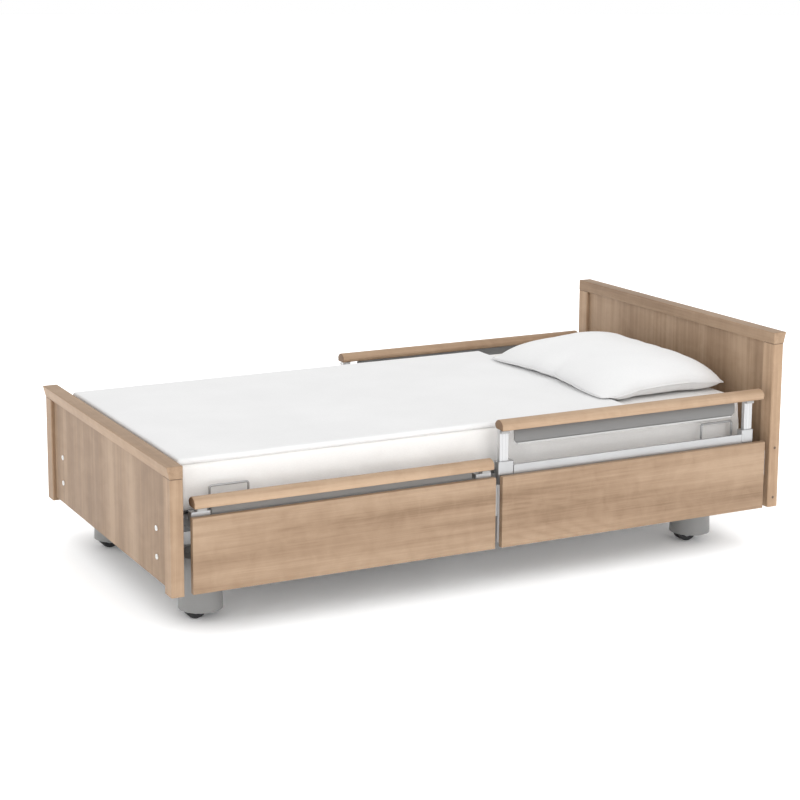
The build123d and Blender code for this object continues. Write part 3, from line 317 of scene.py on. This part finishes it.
# One paint on both ends' blades, painted lighter at the foot and darker at the head, standing in
# for the light and shade on each.
BLADE_LIGHT_TONES = {"foot": 0.33, "head": 0.19}
SHADOW_LINE_HALF = 0.0014  # half the width of a painted shadow line
# One wood on both end boards, painted darker at the foot and lighter at the head, standing in for
# the light on each board.
BOARD_LIGHT_TONES = {"foot": 0.93, "head": 1.08}
POST_TONE = 1.18  # a post's tone, next to its board's
HUB_RADIUS = 0.0207
POST_SPARE = 0.001  # how far a post's mask reaches past the post

wood_side = wood("wood_side", grain=0, tone=1.01, rings=0.065)
wood_cap = wood("wood_cap", grain=1, tone=1.06)
bar_metal = aluminium("satin_aluminium", brushed=0)
frame_coat = painted("frame_coat", (0.50, 0.505, 0.51))
cover_plastic = moulded("cover_plastic", (0.30, 0.30, 0.296))
drive_plastic = moulded("drive_plastic", (0.055, 0.057, 0.060))
screw_plastic = moulded("screw_plastic", (0.86, 0.86, 0.85), rough=0.4)
fitting_plastic = moulded("fitting_plastic", (0.42, 0.42, 0.416), rough=0.45)
# Dark brown for the discs that stand in for the shade in pilot holes.
hole_shade_plastic = moulded("hole_shade_plastic", (0.13, 0.085, 0.055), rough=0.5)
rod_metal = aluminium("bright_rod", brushed=0, color=(0.86, 0.86, 0.87), rough=0.18)
wire_metal = painted("hoop_wire", (0.40, 0.40, 0.405), rough=0.35, metallic=0.4)
sheet_cotton = woven("sheet_cotton", (0.92, 0.905, 0.885), threads=5200.0)
duvet_cotton = woven("duvet_cotton", (0.88, 0.88, 0.88), threads=6200.0, depth=0.25)
pillow_cotton = woven("pillow_cotton", (0.91, 0.91, 0.91), threads=6200.0, depth=0.25)


def dress(node, material):
    """Puts one material in every slot of a CAD node."""
    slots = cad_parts[node].material_slots
    for number in range(len(slots)):
        slots[number].material = material


for end in ENDS:
    post_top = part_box(f"{end}board_posts")[1].z
    panel_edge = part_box(f"{end}board_panel")[1].y
    # Painted shadow lines: one under the cap, one where the panel sits recessed between the posts.
    cap_shadow_line = (2, post_top - SHADOW_LINE_HALF, post_top + SHADOW_LINE_HALF)
    post_shadow_line = (1, panel_edge - SHADOW_LINE_HALF, panel_edge + SHADOW_LINE_HALF)
    # This end's painted light and shade on its board wood.
    board_light_tone = BOARD_LIGHT_TONES[end]
    wood_board = wood(f"wood_board_{end}", grain=2, tone=board_light_tone, joints=(cap_shadow_line, post_shadow_line))
    wood_post = wood(f"wood_post_{end}", grain=2, tone=POST_TONE * board_light_tone, joints=(cap_shadow_line,))
    dress(f"{end}board_panel", wood_board)
    dress(f"{end}board_posts", wood_post)
    dress(f"{end}board_cap", wood_cap)
    blade_mat = guard_blade_finish(
        f"guard_blade_{end}", f"guard_blade_{end}_left", BLADE_LIGHT_TONES[end]
    )
    wheel_mat = wheel_finish(f"wheel_{end}", f"castor_wheels_{end}_left")
    for side_name in SIDES:
        dress(f"side_panel_{end}_{side_name}", wood_side)
        dress(f"guard_blade_{end}_{side_name}", blade_mat)
        dress(f"guard_carriage_{end}_{side_name}", bar_metal)
        dress(f"guard_release_{end}_{side_name}", fitting_plastic)
        dress(f"castor_wheels_{end}_{side_name}", wheel_mat)
        dress(f"castor_fork_{end}_{side_name}", frame_coat)

PLAIN_NODES = {
    frame_coat: (
        "chassis_frame", "lying_frame_tubes", "board_brackets", "guard_guides", "pole_sockets",
        "seat_platform", "backrest_platform", "thigh_platform", "calf_platform",
        "column_outer_tubes",
    ),
    bar_metal: ("column_middle_tubes", "column_inner_tubes"),
    cover_plastic: ("castor_covers",),
    drive_plastic: ("drive_motors", "control_box"),
    rod_metal: ("backrest_rod", "thigh_rod"),
    screw_plastic: ("board_screws",),
    wire_metal: ("backrest_hoops", "calf_hoops"),
}
for material, node_names in PLAIN_NODES.items():
    for node_name in node_names:
        dress(node_name, material)


# ---------------------------------------------------------------- mesh helpers
def new_piece(name, points, faces, material, smooth=True, flat_faces=()):
    """A mesh object from points and faces; edges round the flat faces stay sharp."""
    mesh = bpy.data.meshes.new(name)
    mesh.from_pydata([tuple(point) for point in points], [], faces)
    mesh.materials.append(material)
    mesh.polygons.foreach_set("use_smooth", [smooth] * len(faces))
    sharp = set()
    for number in flat_faces:
        face = mesh.polygons[number]
        face.use_smooth = False
        sharp.update(tuple(sorted(key)) for key in face.edge_keys)
    for edge in mesh.edges:
        if tuple(sorted(edge.vertices)) in sharp:
            edge.use_edge_sharp = True
    mesh.update()
    piece = bpy.data.objects.new(name, mesh)
    bpy.context.scene.collection.objects.link(piece)
    return piece


def loft(rings):
    """Points and faces of a closed tube through rings of equal length, capped at both ends.
    The last two faces are the caps."""
    count = len(rings[0])
    points = [point for ring in rings for point in ring]
    faces = []
    for row in range(len(rings) - 1):
        for number in range(count):
            following = (number + 1) % count
            a = row * count + number
            b = row * count + following
            faces.append((a, b, b + count, a + count))
    faces.append(tuple(reversed(range(count))))
    last = (len(rings) - 1) * count
    faces.append(tuple(range(last, last + count)))
    return points, faces


def lathe(profile, centre, axis, steps=40):
    """Points and faces turned from (radius, height) pairs about an axis through centre."""
    axis = Vector(axis).normalized()
    side = axis.orthogonal().normalized()
    other = axis.cross(side)
    rings = []
    for radius, height in profile:
        ring = []
        for step in range(steps):
            angle = 2 * math.pi * step / steps
            out = side * math.cos(angle) + other * math.sin(angle)
            ring.append(Vector(centre) + axis * height + out * radius)
        rings.append(ring)
    return loft(rings)


def merged(parts):
    """Several (points, faces) pairs as one."""
    points = []
    faces = []
    for part_points, part_faces in parts:
        offset = len(points)
        points += part_points
        faces += [tuple(offset + index for index in face) for face in part_faces]
    return points, faces


def spread(start, end, step):
    """Evenly spaced values from start to end, at most step apart."""
    count = max(1, math.ceil(abs(end - start) / step))
    return [start + (end - start) * number / count for number in range(count + 1)]


def arc_through(first, middle, last, steps):
    """Points on the circle through three points, in a plane, the first one left out."""
    (ax, ay), (bx, by), (cx, cy) = first, middle, last
    d = 2 * (ax * (by - cy) + bx * (cy - ay) + cx * (ay - by))
    a2, b2, c2 = ax * ax + ay * ay, bx * bx + by * by, cx * cx + cy * cy
    ux = (a2 * (by - cy) + b2 * (cy - ay) + c2 * (ay - by)) / d
    uy = (a2 * (cx - bx) + b2 * (ax - cx) + c2 * (bx - ax)) / d
    radius = math.hypot(ax - ux, ay - uy)
    start = math.atan2(ay - uy, ax - ux)
    through = (math.atan2(by - uy, bx - ux) - start) % (2 * math.pi)
    sweep = (math.atan2(cy - uy, cx - ux) - start) % (2 * math.pi)
    if through > sweep:
        sweep -= 2 * math.pi
    return [
        (ux + radius * math.cos(start + sweep * step / steps),
         uy + radius * math.sin(start + sweep * step / steps))
        for step in range(1, steps + 1)
    ]


def smoothstep(value, low, high):
    part = min(1.0, max(0.0, (value - low) / (high - low)))
    return part * part * (3 - 2 * part)


# ---------------------------------------------------------------- wooden guard rails
RAIL_SHOULDER = 0.016
RAIL_CURL = 0.011
RAIL_TAPER = 0.001
RAIL_END = 0.004  # length over which an end is rounded
RAIL_END_STEPS = 7
RAIL_END_GRAIN = 0.0012  # depth of the darker end grain
RAIL_END_KEEP = 0.78  # size of the section at the very end
RAIL_STATION = 0.05
RAIL_SOFT = 0.0015
RAIL_CURL_BEND = (0.0025, 0.009)  # a point on the curl, inwards and down from the shoulder
RAIL_TOP_STEPS = 22
RAIL_CURL_STEPS = 8


def rail_outline(box_low, box_high, side):
    """The rail's section as (y, z) points, all round, from its bottom outer edge."""
    outer = max(abs(box_low.y), abs(box_high.y))
    inner = min(abs(box_low.y), abs(box_high.y))
    bottom, top = box_low.z, box_high.z
    shoulder = top - RAIL_SHOULDER
    curl = inner + RAIL_CURL
    bend = (inner + RAIL_CURL_BEND[0], shoulder - RAIL_CURL_BEND[1])
    crown = ((outer + inner) / 2, top)
    outline = [(outer - RAIL_TAPER - RAIL_SOFT, bottom), (outer - RAIL_TAPER, bottom + RAIL_SOFT)]
    outline.append((outer, shoulder))
    outline += arc_through((outer, shoulder), crown, (inner, shoulder), RAIL_TOP_STEPS)
    outline += arc_through((inner, shoulder), bend, (curl, bottom), RAIL_CURL_STEPS)
    return [(side * y, z) for y, z in outline]


for end in ENDS:
    low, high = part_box(f"guard_rail_{end}_left")
    wood_rail = wood(f"wood_rail_{end}", grain=0, tone=1.20,
                     ends=(low.x + RAIL_END_GRAIN, high.x - RAIL_END_GRAIN))
    for side_name, side in SIDES.items():
        node = f"guard_rail_{end}_{side_name}"
        low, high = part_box(node)
        outline = rail_outline(low, high, side)
        centre_y = side * (abs(low.y) + abs(high.y)) / 2
        centre_z = (low.z + high.z) / 2
        rounding = [
            RAIL_END * (1 - math.cos(math.pi / 2 * step / RAIL_END_STEPS))
            for step in range(RAIL_END_STEPS + 1)
        ]
        stations = [low.x + reach for reach in rounding]
        stations += spread(low.x + RAIL_END, high.x - RAIL_END, RAIL_STATION)[1:-1]
        stations += [high.x - reach for reach in reversed(rounding)]
        rings = []
        for x in stations:
            near = min(x - low.x, high.x - x)
            part = min(1.0, near / RAIL_END)
            keep = RAIL_END_KEEP + (1 - RAIL_END_KEEP) * math.sqrt(1 - (1 - part) ** 2)
            rings.append([
                (x, centre_y + (y - centre_y) * keep, centre_z + (z - centre_z) * keep)
                for y, z in outline
            ])
        if side > 0:
            rings = [list(reversed(ring)) for ring in rings]
        points, faces = loft(rings)
        rail = new_piece(f"rail_{end}_{side_name}", points, faces, wood_rail)
        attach(rail, f"guard_{end}_{side_name}")
        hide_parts(node)


# ---------------------------------------------------------------- castor hub caps
for end in ENDS:
    for side_name, side in SIDES.items():
        low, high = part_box(f"castor_wheels_{end}_{side_name}")
        axle = ((low.x + high.x) / 2, (low.z + high.z) / 2)
        caps = []
        for face_y, out in ((low.y, -1), (high.y, 1)):
            centre = (axle[0], face_y, axle[1])
            profile = [
                (0.0196, -0.0023), (0.0196, -0.0008), (0.0186, -0.0001), (0.0172, -0.0001),
                (0.0164, -0.0012), (0.0085, -0.0014), (0.0078, -0.0003), (0.0062, 0.0),
                (0.0046, -0.0006), (0.0010, -0.0007),
            ]
            caps.append(lathe(profile, centre, (0, out, 0)))
        points, faces = merged(caps)
        hub = new_piece(f"hub_caps_{end}_{side_name}", points, faces, fitting_plastic)
        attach(hub, f"wheels_{end}_{side_name}")


# ---------------------------------------------------------------- bedding
BEDDING_CUTS = (0.100, -0.170)  # where the pieces meet, clear of every bend
STATION_STEP = 0.010


RING_ACROSS = 70
RING_UP = 12
RING_CORNER = 8


def steps_between(start, end, count):
    """count evenly spaced values from start, the end left out."""
    return [start + (end - start) * number / count for number in range(count)]


def rounded_ring(half, low, high, radius, crown=0.0, bulge=0.0, flare=0.0):
    """A rounded oblong of (y, z) points, anticlockwise from the bottom left."""
    radius = min(radius, half * 0.99, (high - low) * 0.499)
    ring = [(y, low) for y in steps_between(-half + radius, half - radius, RING_ACROSS)]
    corners = (
        ((half - radius, low + radius), -90),
        ((half - radius, high - radius), 0),
        ((-half + radius, high - radius), 90),
        ((-half + radius, low + radius), 180),
    )
    for number, ((y, z), start) in enumerate(corners):
        for step in range(RING_CORNER):
            angle = math.radians(start + 90 * step / RING_CORNER)
            ring.append((y + radius * math.cos(angle), z + radius * math.sin(angle)))
        if number == 0:
            ring += [(half, z) for z in steps_between(low + radius, high - radius, RING_UP)]
        if number == 1:
            ring += [(y, high) for y in steps_between(half - radius, -half + radius, RING_ACROSS)]
        if number == 2:
            ring += [(-half, z) for z in steps_between(high - radius, low + radius, RING_UP)]
    shaped = []
    for y, z in ring:
        up = (z - low) / (high - low)
        across = min(1.0, abs(y) / half)
        lift = crown * (1 - across ** 4) * up
        out = bulge * 4 * up * (1 - up) + flare * (1 - up) ** 1.5
        shaped.append((y + math.copysign(out * across ** 8, y), z + lift))
    return shaped


def ripple(x, y, z, waves, height):
    """A smooth uneven rise and fall of the given height, fixed to the place."""
    return height * noise.noise(Vector((x * waves[0], y * waves[1], z * waves[2])))


class Bedding:
    """One layer of bedding: its ends, its section and how uneven it is."""

    def __init__(self, name, ends, half, low, high, radius, crown, bulge, flare, fade):
        self.name = name
        self.ends = ends
        self.half = half
        self.low = low
        self.high = high
        self.radius = radius
        self.crown = crown
        self.bulge = bulge
        self.flare = flare
        self.fade = fade

    def ring(self, x):
        """The section at x, drawn in towards the two ends so that they are rounded."""
        near = min(x - self.ends[0], self.ends[1] - x)
        part = min(1.0, max(0.0, near / self.radius))
        inset = self.radius * (1 - math.sqrt(1 - (1 - part) ** 2))
        half = self.half - inset
        low = self.low + inset * 0.6
        high = self.high - inset
        section = rounded_ring(
            half, low, high, self.radius, self.crown, self.bulge, self.flare
        )
        return [self.settle(x, y, z) for y, z in section]

    def settle(self, x, y, z):
        """Soft hollows on top, shallow vertical folds down the sides."""
        up = (z - self.low) / (self.high - self.low)
        side = smoothstep(abs(y), self.half - 0.05, self.half)
        top = smoothstep(up, 0.6, 1.0) * (1 - side)
        z += top * ripple(x, y, 0.0, (2.6, 2.2, 0.0), self.fade)
        z += top * ripple(x, y, 3.0, (9.0, 7.0, 1.0), self.fade * 0.35)
        edge = ripple(x, 5.0 * math.copysign(1.0, y), z, (11.0, 1.0, 9.0), self.fade)
        edge += ripple(x, 8.0 * math.copysign(1.0, y), z, (31.0, 1.0, 12.0), self.fade * 0.4)
        y += math.copysign(side * edge, y)
        return (x, y, z)

    def stations(self, start, end):
        """Places along X, closer together where an end is rounded."""
        places = set(spread(start, end, STATION_STEP))
        for rim, toward in ((self.ends[0], 1), (self.ends[1], -1)):
            if min(start, end) <= rim <= max(start, end):
                for step in range(9):
                    places.add(rim + toward * self.radius * (1 - math.cos(math.pi / 2 * step / 8)))
        return sorted(places)

    def piece(self, section, start, end, material, slot, fill):
        """One length of the layer, lofted from start to end and left in place."""
        rings = [self.ring(x) for x in self.stations(start, end)]
        rings = [list(reversed(ring)) for ring in rings]
        points, faces = loft(rings)
        flat = []
        if start not in self.ends:
            flat.append(len(faces) - 2)
        if end not in self.ends:
            flat.append(len(faces) - 1)
        made = new_piece(f"{self.name}_{section}", points, faces, material, True, flat)
        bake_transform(made)
        return made

    def pieces(self, material, slot, fill):
        spans = {
            "legs": (self.ends[0], BEDDING_CUTS[1]),
            "seat": (BEDDING_CUTS[1], BEDDING_CUTS[0]),
            "back": (BEDDING_CUTS[0], self.ends[1]),
        }
        return {
            section: self.piece(section, start, end, material, slot, fill)
            for section, (start, end) in spans.items()
        }


mattress_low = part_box("mattress_calf")[0]
mattress_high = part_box("mattress_back")[1]
MATTRESS_TOP = mattress_high.z - 0.004
mattress = Bedding(
    "mattress", (mattress_low.x, mattress_high.x), 0.479, mattress_low.z, MATTRESS_TOP,
    radius=0.016, crown=0.002, bulge=0.005, flare=0.010, fade=0.0035,
)
mattress_pieces = mattress.pieces(sheet_cotton, "mattress_fabric", 1.0)
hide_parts("mattress_back")
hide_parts("mattress_seat")
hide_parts("mattress_thigh", "mattress_calf")

DUVET_LOW = MATTRESS_TOP - 0.002
DUVET_HIGH = 0.513
DUVET_HEAD_END = 0.540
duvet = Bedding(
    "duvet", (mattress_low.x - 0.006, DUVET_HEAD_END), 0.482, DUVET_LOW, DUVET_HIGH,
    radius=0.009, crown=0.003, bulge=0.0, flare=0.0, fade=0.0028,
)
duvet.pieces(duvet_cotton, "mattress_fabric", 0.35)

# ---------------------------------------------------------------- pillow
PILLOW_CUT = (0.56, 0.76)  # flat size of the case before it is filled
PILLOW_CELLS = (46, 62)
PILLOW_X = (0.497, 0.984)
PILLOW_Y = (-0.384, 0.314)
PILLOW_RISE = 0.115
PILLOW_BED = MATTRESS_TOP + 0.003
SIM_FRAMES = 24
PUFF = 0.09
PUCKER = 0.26  # how much of the free-blown shape shows in the stuffed one
STRAIGHTEN = 0.17  # how far the drawn-in middles of the edges are let out again
SEAM_FOOT = 0.010  # the seam's height at the foot corners
SEAM_HEAD_RISE = 0.016
SEAM_MIDDLE_RISE = 0.024  # how much higher the seam is between the corners
PUFF_SCALE = 1.34
PILLOW_LEAN = 0.12  # how much fuller the pillow is towards the head end
PILLOW_GAP = 0.0015
PILLOW_SOFT = 0.012  # height over which the underside flattens onto the bedding
DUVET_STEP = (DUVET_HEAD_END - 0.02, DUVET_HEAD_END + 0.03)


def pillow_sheets():
    """Two rectangular sheets joined round their edge, barely apart, as (points, faces)."""
    across, along = PILLOW_CELLS
    points = []
    index = {}
    for sheet in (1, -1):
        for i in range(across + 1):
            for j in range(along + 1):
                border = i in (0, across) or j in (0, along)
                if border and sheet < 0:
                    index[sheet, i, j] = index[1, i, j]
                    continue
                u, v = 2 * i / across - 1, 2 * j / along - 1
                puff = 0.012 * (1 - u * u) * (1 - v * v)
                index[sheet, i, j] = len(points)
                points.append((u * PILLOW_CUT[0] / 2, v * PILLOW_CUT[1] / 2, sheet * puff))
    faces = []
    for sheet in (1, -1):
        for i in range(across):
            for j in range(along):
                face = [
                    index[sheet, i, j], index[sheet, i + 1, j],
                    index[sheet, i + 1, j + 1], index[sheet, i, j + 1],
                ]
                faces.append(tuple(face if sheet > 0 else reversed(face)))
    rim = [index[1, i, 0] for i in range(across)]
    rim += [index[1, across, j] for j in range(along)]
    rim += [index[1, i, along] for i in range(across, 0, -1)]
    rim += [index[1, 0, j] for j in range(along, 0, -1)]
    return points, faces, rim


def stuffed(points):
    """The sheets puffed out evenly round a full filling."""
    puffed = []
    for x, y, z in points:
        u, v = 2 * x / PILLOW_CUT[0], 2 * y / PILLOW_CUT[1]
        full = ((1 - u ** 4) * (1 - v ** 4)) ** 0.55
        pull = 1 - 0.05 * (1 - abs(u) * abs(v))
        puffed.append((x * pull, y * pull, math.copysign(PUFF * full, z) if z else 0.0))
    return puffed


def inflated(points, faces):
    """The sheets blown up by Cloth pressure, which leaves puckers along the seam."""
    mesh = bpy.data.meshes.new("pillow_sim")
    mesh.from_pydata(points, [], faces)
    body = bpy.data.objects.new("pillow_sim", mesh)
    scene = bpy.context.scene
    scene.collection.objects.link(body)
    cloth = body.modifiers.new("cloth", "CLOTH")
    cloth.settings.quality = 7
    cloth.settings.mass = 0.25
    cloth.settings.tension_stiffness = 22
    cloth.settings.compression_stiffness = 14
    cloth.settings.shear_stiffness = 8
    cloth.settings.bending_stiffness = 0.6
    cloth.settings.use_pressure = True
    cloth.settings.uniform_pressure_force = 5.0
    cloth.settings.effector_weights.gravity = 0
    cloth.collision_settings.use_collision = False
    cloth.point_cache.frame_start = 1
    cloth.point_cache.frame_end = SIM_FRAMES
    for number in range(1, SIM_FRAMES + 1):
        scene.frame_set(number)
    depsgraph = bpy.context.evaluated_depsgraph_get()
    result = [tuple(vertex.co) for vertex in body.evaluated_get(depsgraph).data.vertices]
    bpy.data.objects.remove(body)
    scene.frame_set(1)
    return result


def settled_pillow():
    """The filled pillow, sized to its place and lying on the bedding."""
    points, faces, rim = pillow_sheets()
    filled = stuffed(points)
    blown = inflated(points, faces)
    rise = max(point[2] for point in blown)
    filled = [
        (
            even[0] + (free[0] - even[0]) * PUCKER,
            even[1] + (free[1] - even[1]) * PUCKER,
            even[2] + (free[2] * PUFF / rise - even[2]) * PUCKER,
        )
        for even, free in zip(filled, blown)
    ]
    low = [min(point[axis] for point in filled) for axis in range(3)]
    high = [max(point[axis] for point in filled) for axis in range(3)]
    thickness = high[2] - low[2]
    placed = []
    for x, y, z in filled:
        u = (x - low[0]) / (high[0] - low[0])
        v = (y - low[1]) / (high[1] - low[1])
        mid_x = 1 - (2 * u - 1) ** 2
        mid_y = 1 - (2 * v - 1) ** 2
        u += STRAIGHTEN * mid_y * (2 * u - 1) ** 3 / 2
        v += STRAIGHTEN * mid_x * (2 * v - 1) ** 3 / 2
        middle = mid_x + mid_y - mid_x * mid_y
        seam_height = SEAM_FOOT + SEAM_HEAD_RISE * u + SEAM_MIDDLE_RISE * middle
        puff = PUFF_SCALE * PILLOW_RISE * z / thickness
        lean = 1 + PILLOW_LEAN * (2 * u - 1)
        height = seam_height + puff * lean
        along_x = PILLOW_X[0] + u * (PILLOW_X[1] - PILLOW_X[0])
        over_duvet = 1 - smoothstep(along_x, *DUVET_STEP)
        floor = PILLOW_GAP + (DUVET_HIGH - MATTRESS_TOP + 0.001) * over_duvet
        if height < floor + PILLOW_SOFT:
            height = floor + PILLOW_SOFT * math.exp((height - floor - PILLOW_SOFT) / PILLOW_SOFT)
        placed.append((
            along_x,
            PILLOW_Y[0] + v * (PILLOW_Y[1] - PILLOW_Y[0]),
            PILLOW_BED + height,
        ))
    return placed, faces, rim


def tube_round(path, radius, steps=8):
    """Points and faces of a thin closed tube along a closed path."""
    count = len(path)
    points = []
    faces = []
    for number in range(count):
        here = Vector(path[number])
        ahead = (Vector(path[(number + 1) % count]) - Vector(path[number - 1])).normalized()
        side = ahead.cross(Vector((0, 0, 1))).normalized()
        up = side.cross(ahead)
        for step in range(steps):
            angle = 2 * math.pi * step / steps
            points.append(here + (side * math.cos(angle) + up * math.sin(angle)) * radius)
    for number in range(count):
        following = (number + 1) % count
        for step in range(steps):
            turn = (step + 1) % steps
            faces.append((
                number * steps + step, number * steps + turn,
                following * steps + turn, following * steps + step,
            ))
    return points, faces


SEAM_RADIUS = 0.0016
pillow_points, pillow_faces, pillow_rim = settled_pillow()
pillow = new_piece("pillow_filled", pillow_points, pillow_faces, pillow_cotton)
smooth = pillow.modifiers.new("subdivide", "SUBSURF")
smooth.levels = 1
smooth.render_levels = 1
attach(pillow, "backrest")
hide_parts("pillow")

seam_points, seam_faces = tube_round([pillow_points[number] for number in pillow_rim], SEAM_RADIUS)
pillow_seam = new_piece("pillow_seam", seam_points, seam_faces, pillow_cotton)
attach(pillow_seam, "backrest")


# ---------------------------------------------------------------- small hardware
def lathe_piece(name, profile, places, axis, material, body):
    points, faces = merged([lathe(profile, place, axis, 24) for place in places])
    piece = new_piece(name, points, faces, material)
    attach(piece, body)
    return piece


# Small dark brown discs on the outer faces of the headboard's posts: painted shade standing in for
# pilot holes.
head_low, head_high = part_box("headboard_posts")
HOLE_SHADE_HEIGHTS = (0.337, 0.169)
HOLE_SHADE_PROFILE = [
    (0.0046, 0.0), (0.0044, 0.0004), (0.0036, 0.0005), (0.0030, 0.0001), (0.0005, 0.0001),
]
for side_name, side in SIDES.items():
    face_y = head_low.y if side < 0 else head_high.y
    middle_x = (head_low.x + head_high.x) / 2
    places = [(middle_x, face_y, z) for z in HOLE_SHADE_HEIGHTS]
    lathe_piece(
        f"post_hole_shade_{side_name}", HOLE_SHADE_PROFILE, places, (0, side, 0), hole_shade_plastic,
        "lying_frame",
    )

# ---------------------------------------------------------------- stage, light and camera
FLOOR_HALF = 62.0
floor_mesh = bpy.data.meshes.new("floor")
floor_mesh.from_pydata(
    [(-FLOOR_HALF, -FLOOR_HALF, 0), (FLOOR_HALF, -FLOOR_HALF, 0),
     (FLOOR_HALF, FLOOR_HALF, 0), (-FLOOR_HALF, FLOOR_HALF, 0)],
    [], [(0, 1, 2, 3)],
)
floor = bpy.data.objects.new("floor", floor_mesh)
bpy.context.scene.collection.objects.link(floor)
floor_finish = Finish(
    "floor_white", (0.97, 0.97, 0.97), 0.9, Specular_IOR_Level=0.1,
    Emission_Color=(1, 1, 1, 1), Emission_Strength=0.03,
)
floor_mesh.materials.append(floor_finish.mat)

world = bpy.data.worlds.new("studio")
bpy.context.scene.world = world
world.use_nodes = True
background = world.node_tree.nodes["Background"]
background.inputs["Color"].default_value = (1, 1, 1, 1)
background.inputs["Strength"].default_value = 0.88


def soft_sun(name, energy, width, heading):
    """A wide soft light from far off, shining along its heading."""
    data = bpy.data.lights.new(name, "SUN")
    data.energy = energy
    data.angle = math.radians(width)
    light = bpy.data.objects.new(name, data)
    light.rotation_euler = Vector(heading).to_track_quat("-Z", "Y").to_euler()
    bpy.context.scene.collection.objects.link(light)
    return light


soft_sun("key", 0.70, 48, (-0.12, 0.80, -0.62))
floor_fill = soft_sun("floor_fill", 2.1, 172, (0.0, 0.0, -1.0))
floor_only = bpy.data.collections.new("floor_only")
floor_only.objects.link(floor)
floor_fill.light_linking.receiver_collection = floor_only

# A white surround beyond the floor, seen by the camera only.
SURROUND_RADIUS = 60.0
SURROUND_BOTTOM = -1.0
SURROUND_SIDES = 48
turns = [turn * 2 * math.pi / SURROUND_SIDES for turn in range(SURROUND_SIDES)]
ring = [(SURROUND_RADIUS * math.cos(turn), SURROUND_RADIUS * math.sin(turn)) for turn in turns]
heights = (SURROUND_BOTTOM, SURROUND_RADIUS)
points, faces = loft([[(x, y, z) for x, y in ring] for z in heights])
surround_mesh = bpy.data.meshes.new("surround")
surround_mesh.from_pydata(points, [], faces)
surround_finish = Finish("surround_white", (0, 0, 0), 1.0, Specular_IOR_Level=0.0,
                         Emission_Color=(1, 1, 1, 1), Emission_Strength=1.0)
surround_mesh.materials.append(surround_finish.mat)
surround = bpy.data.objects.new("surround", surround_mesh)
bpy.context.scene.collection.objects.link(surround)
surround.visible_diffuse = False
surround.visible_glossy = False
surround.visible_transmission = False
surround.visible_shadow = False

CAMERA_PLACE = Vector((-2.9026, -5.4532, 1.9254))
CAMERA_AZIMUTH = math.radians(-25.865)
CAMERA_ELEVATION = math.radians(10.152)
back = Vector((
    math.sin(CAMERA_AZIMUTH) * math.cos(CAMERA_ELEVATION),
    -math.cos(CAMERA_AZIMUTH) * math.cos(CAMERA_ELEVATION),
    math.sin(CAMERA_ELEVATION),
))

camera_data = bpy.data.cameras.new("camera")
camera_data.lens = 86.04
camera_data.sensor_width = 36.0
camera_data.shift_x = 0.075
camera_data.shift_y = -0.125
camera_data.clip_end = 500.0
camera = bpy.data.objects.new("camera", camera_data)
camera.location = CAMERA_PLACE
camera.rotation_euler = (-back).to_track_quat("-Z", "Y").to_euler()
bpy.context.scene.collection.objects.link(camera)
bpy.context.scene.camera = camera
bpy.context.scene.view_settings.view_transform = "Standard"
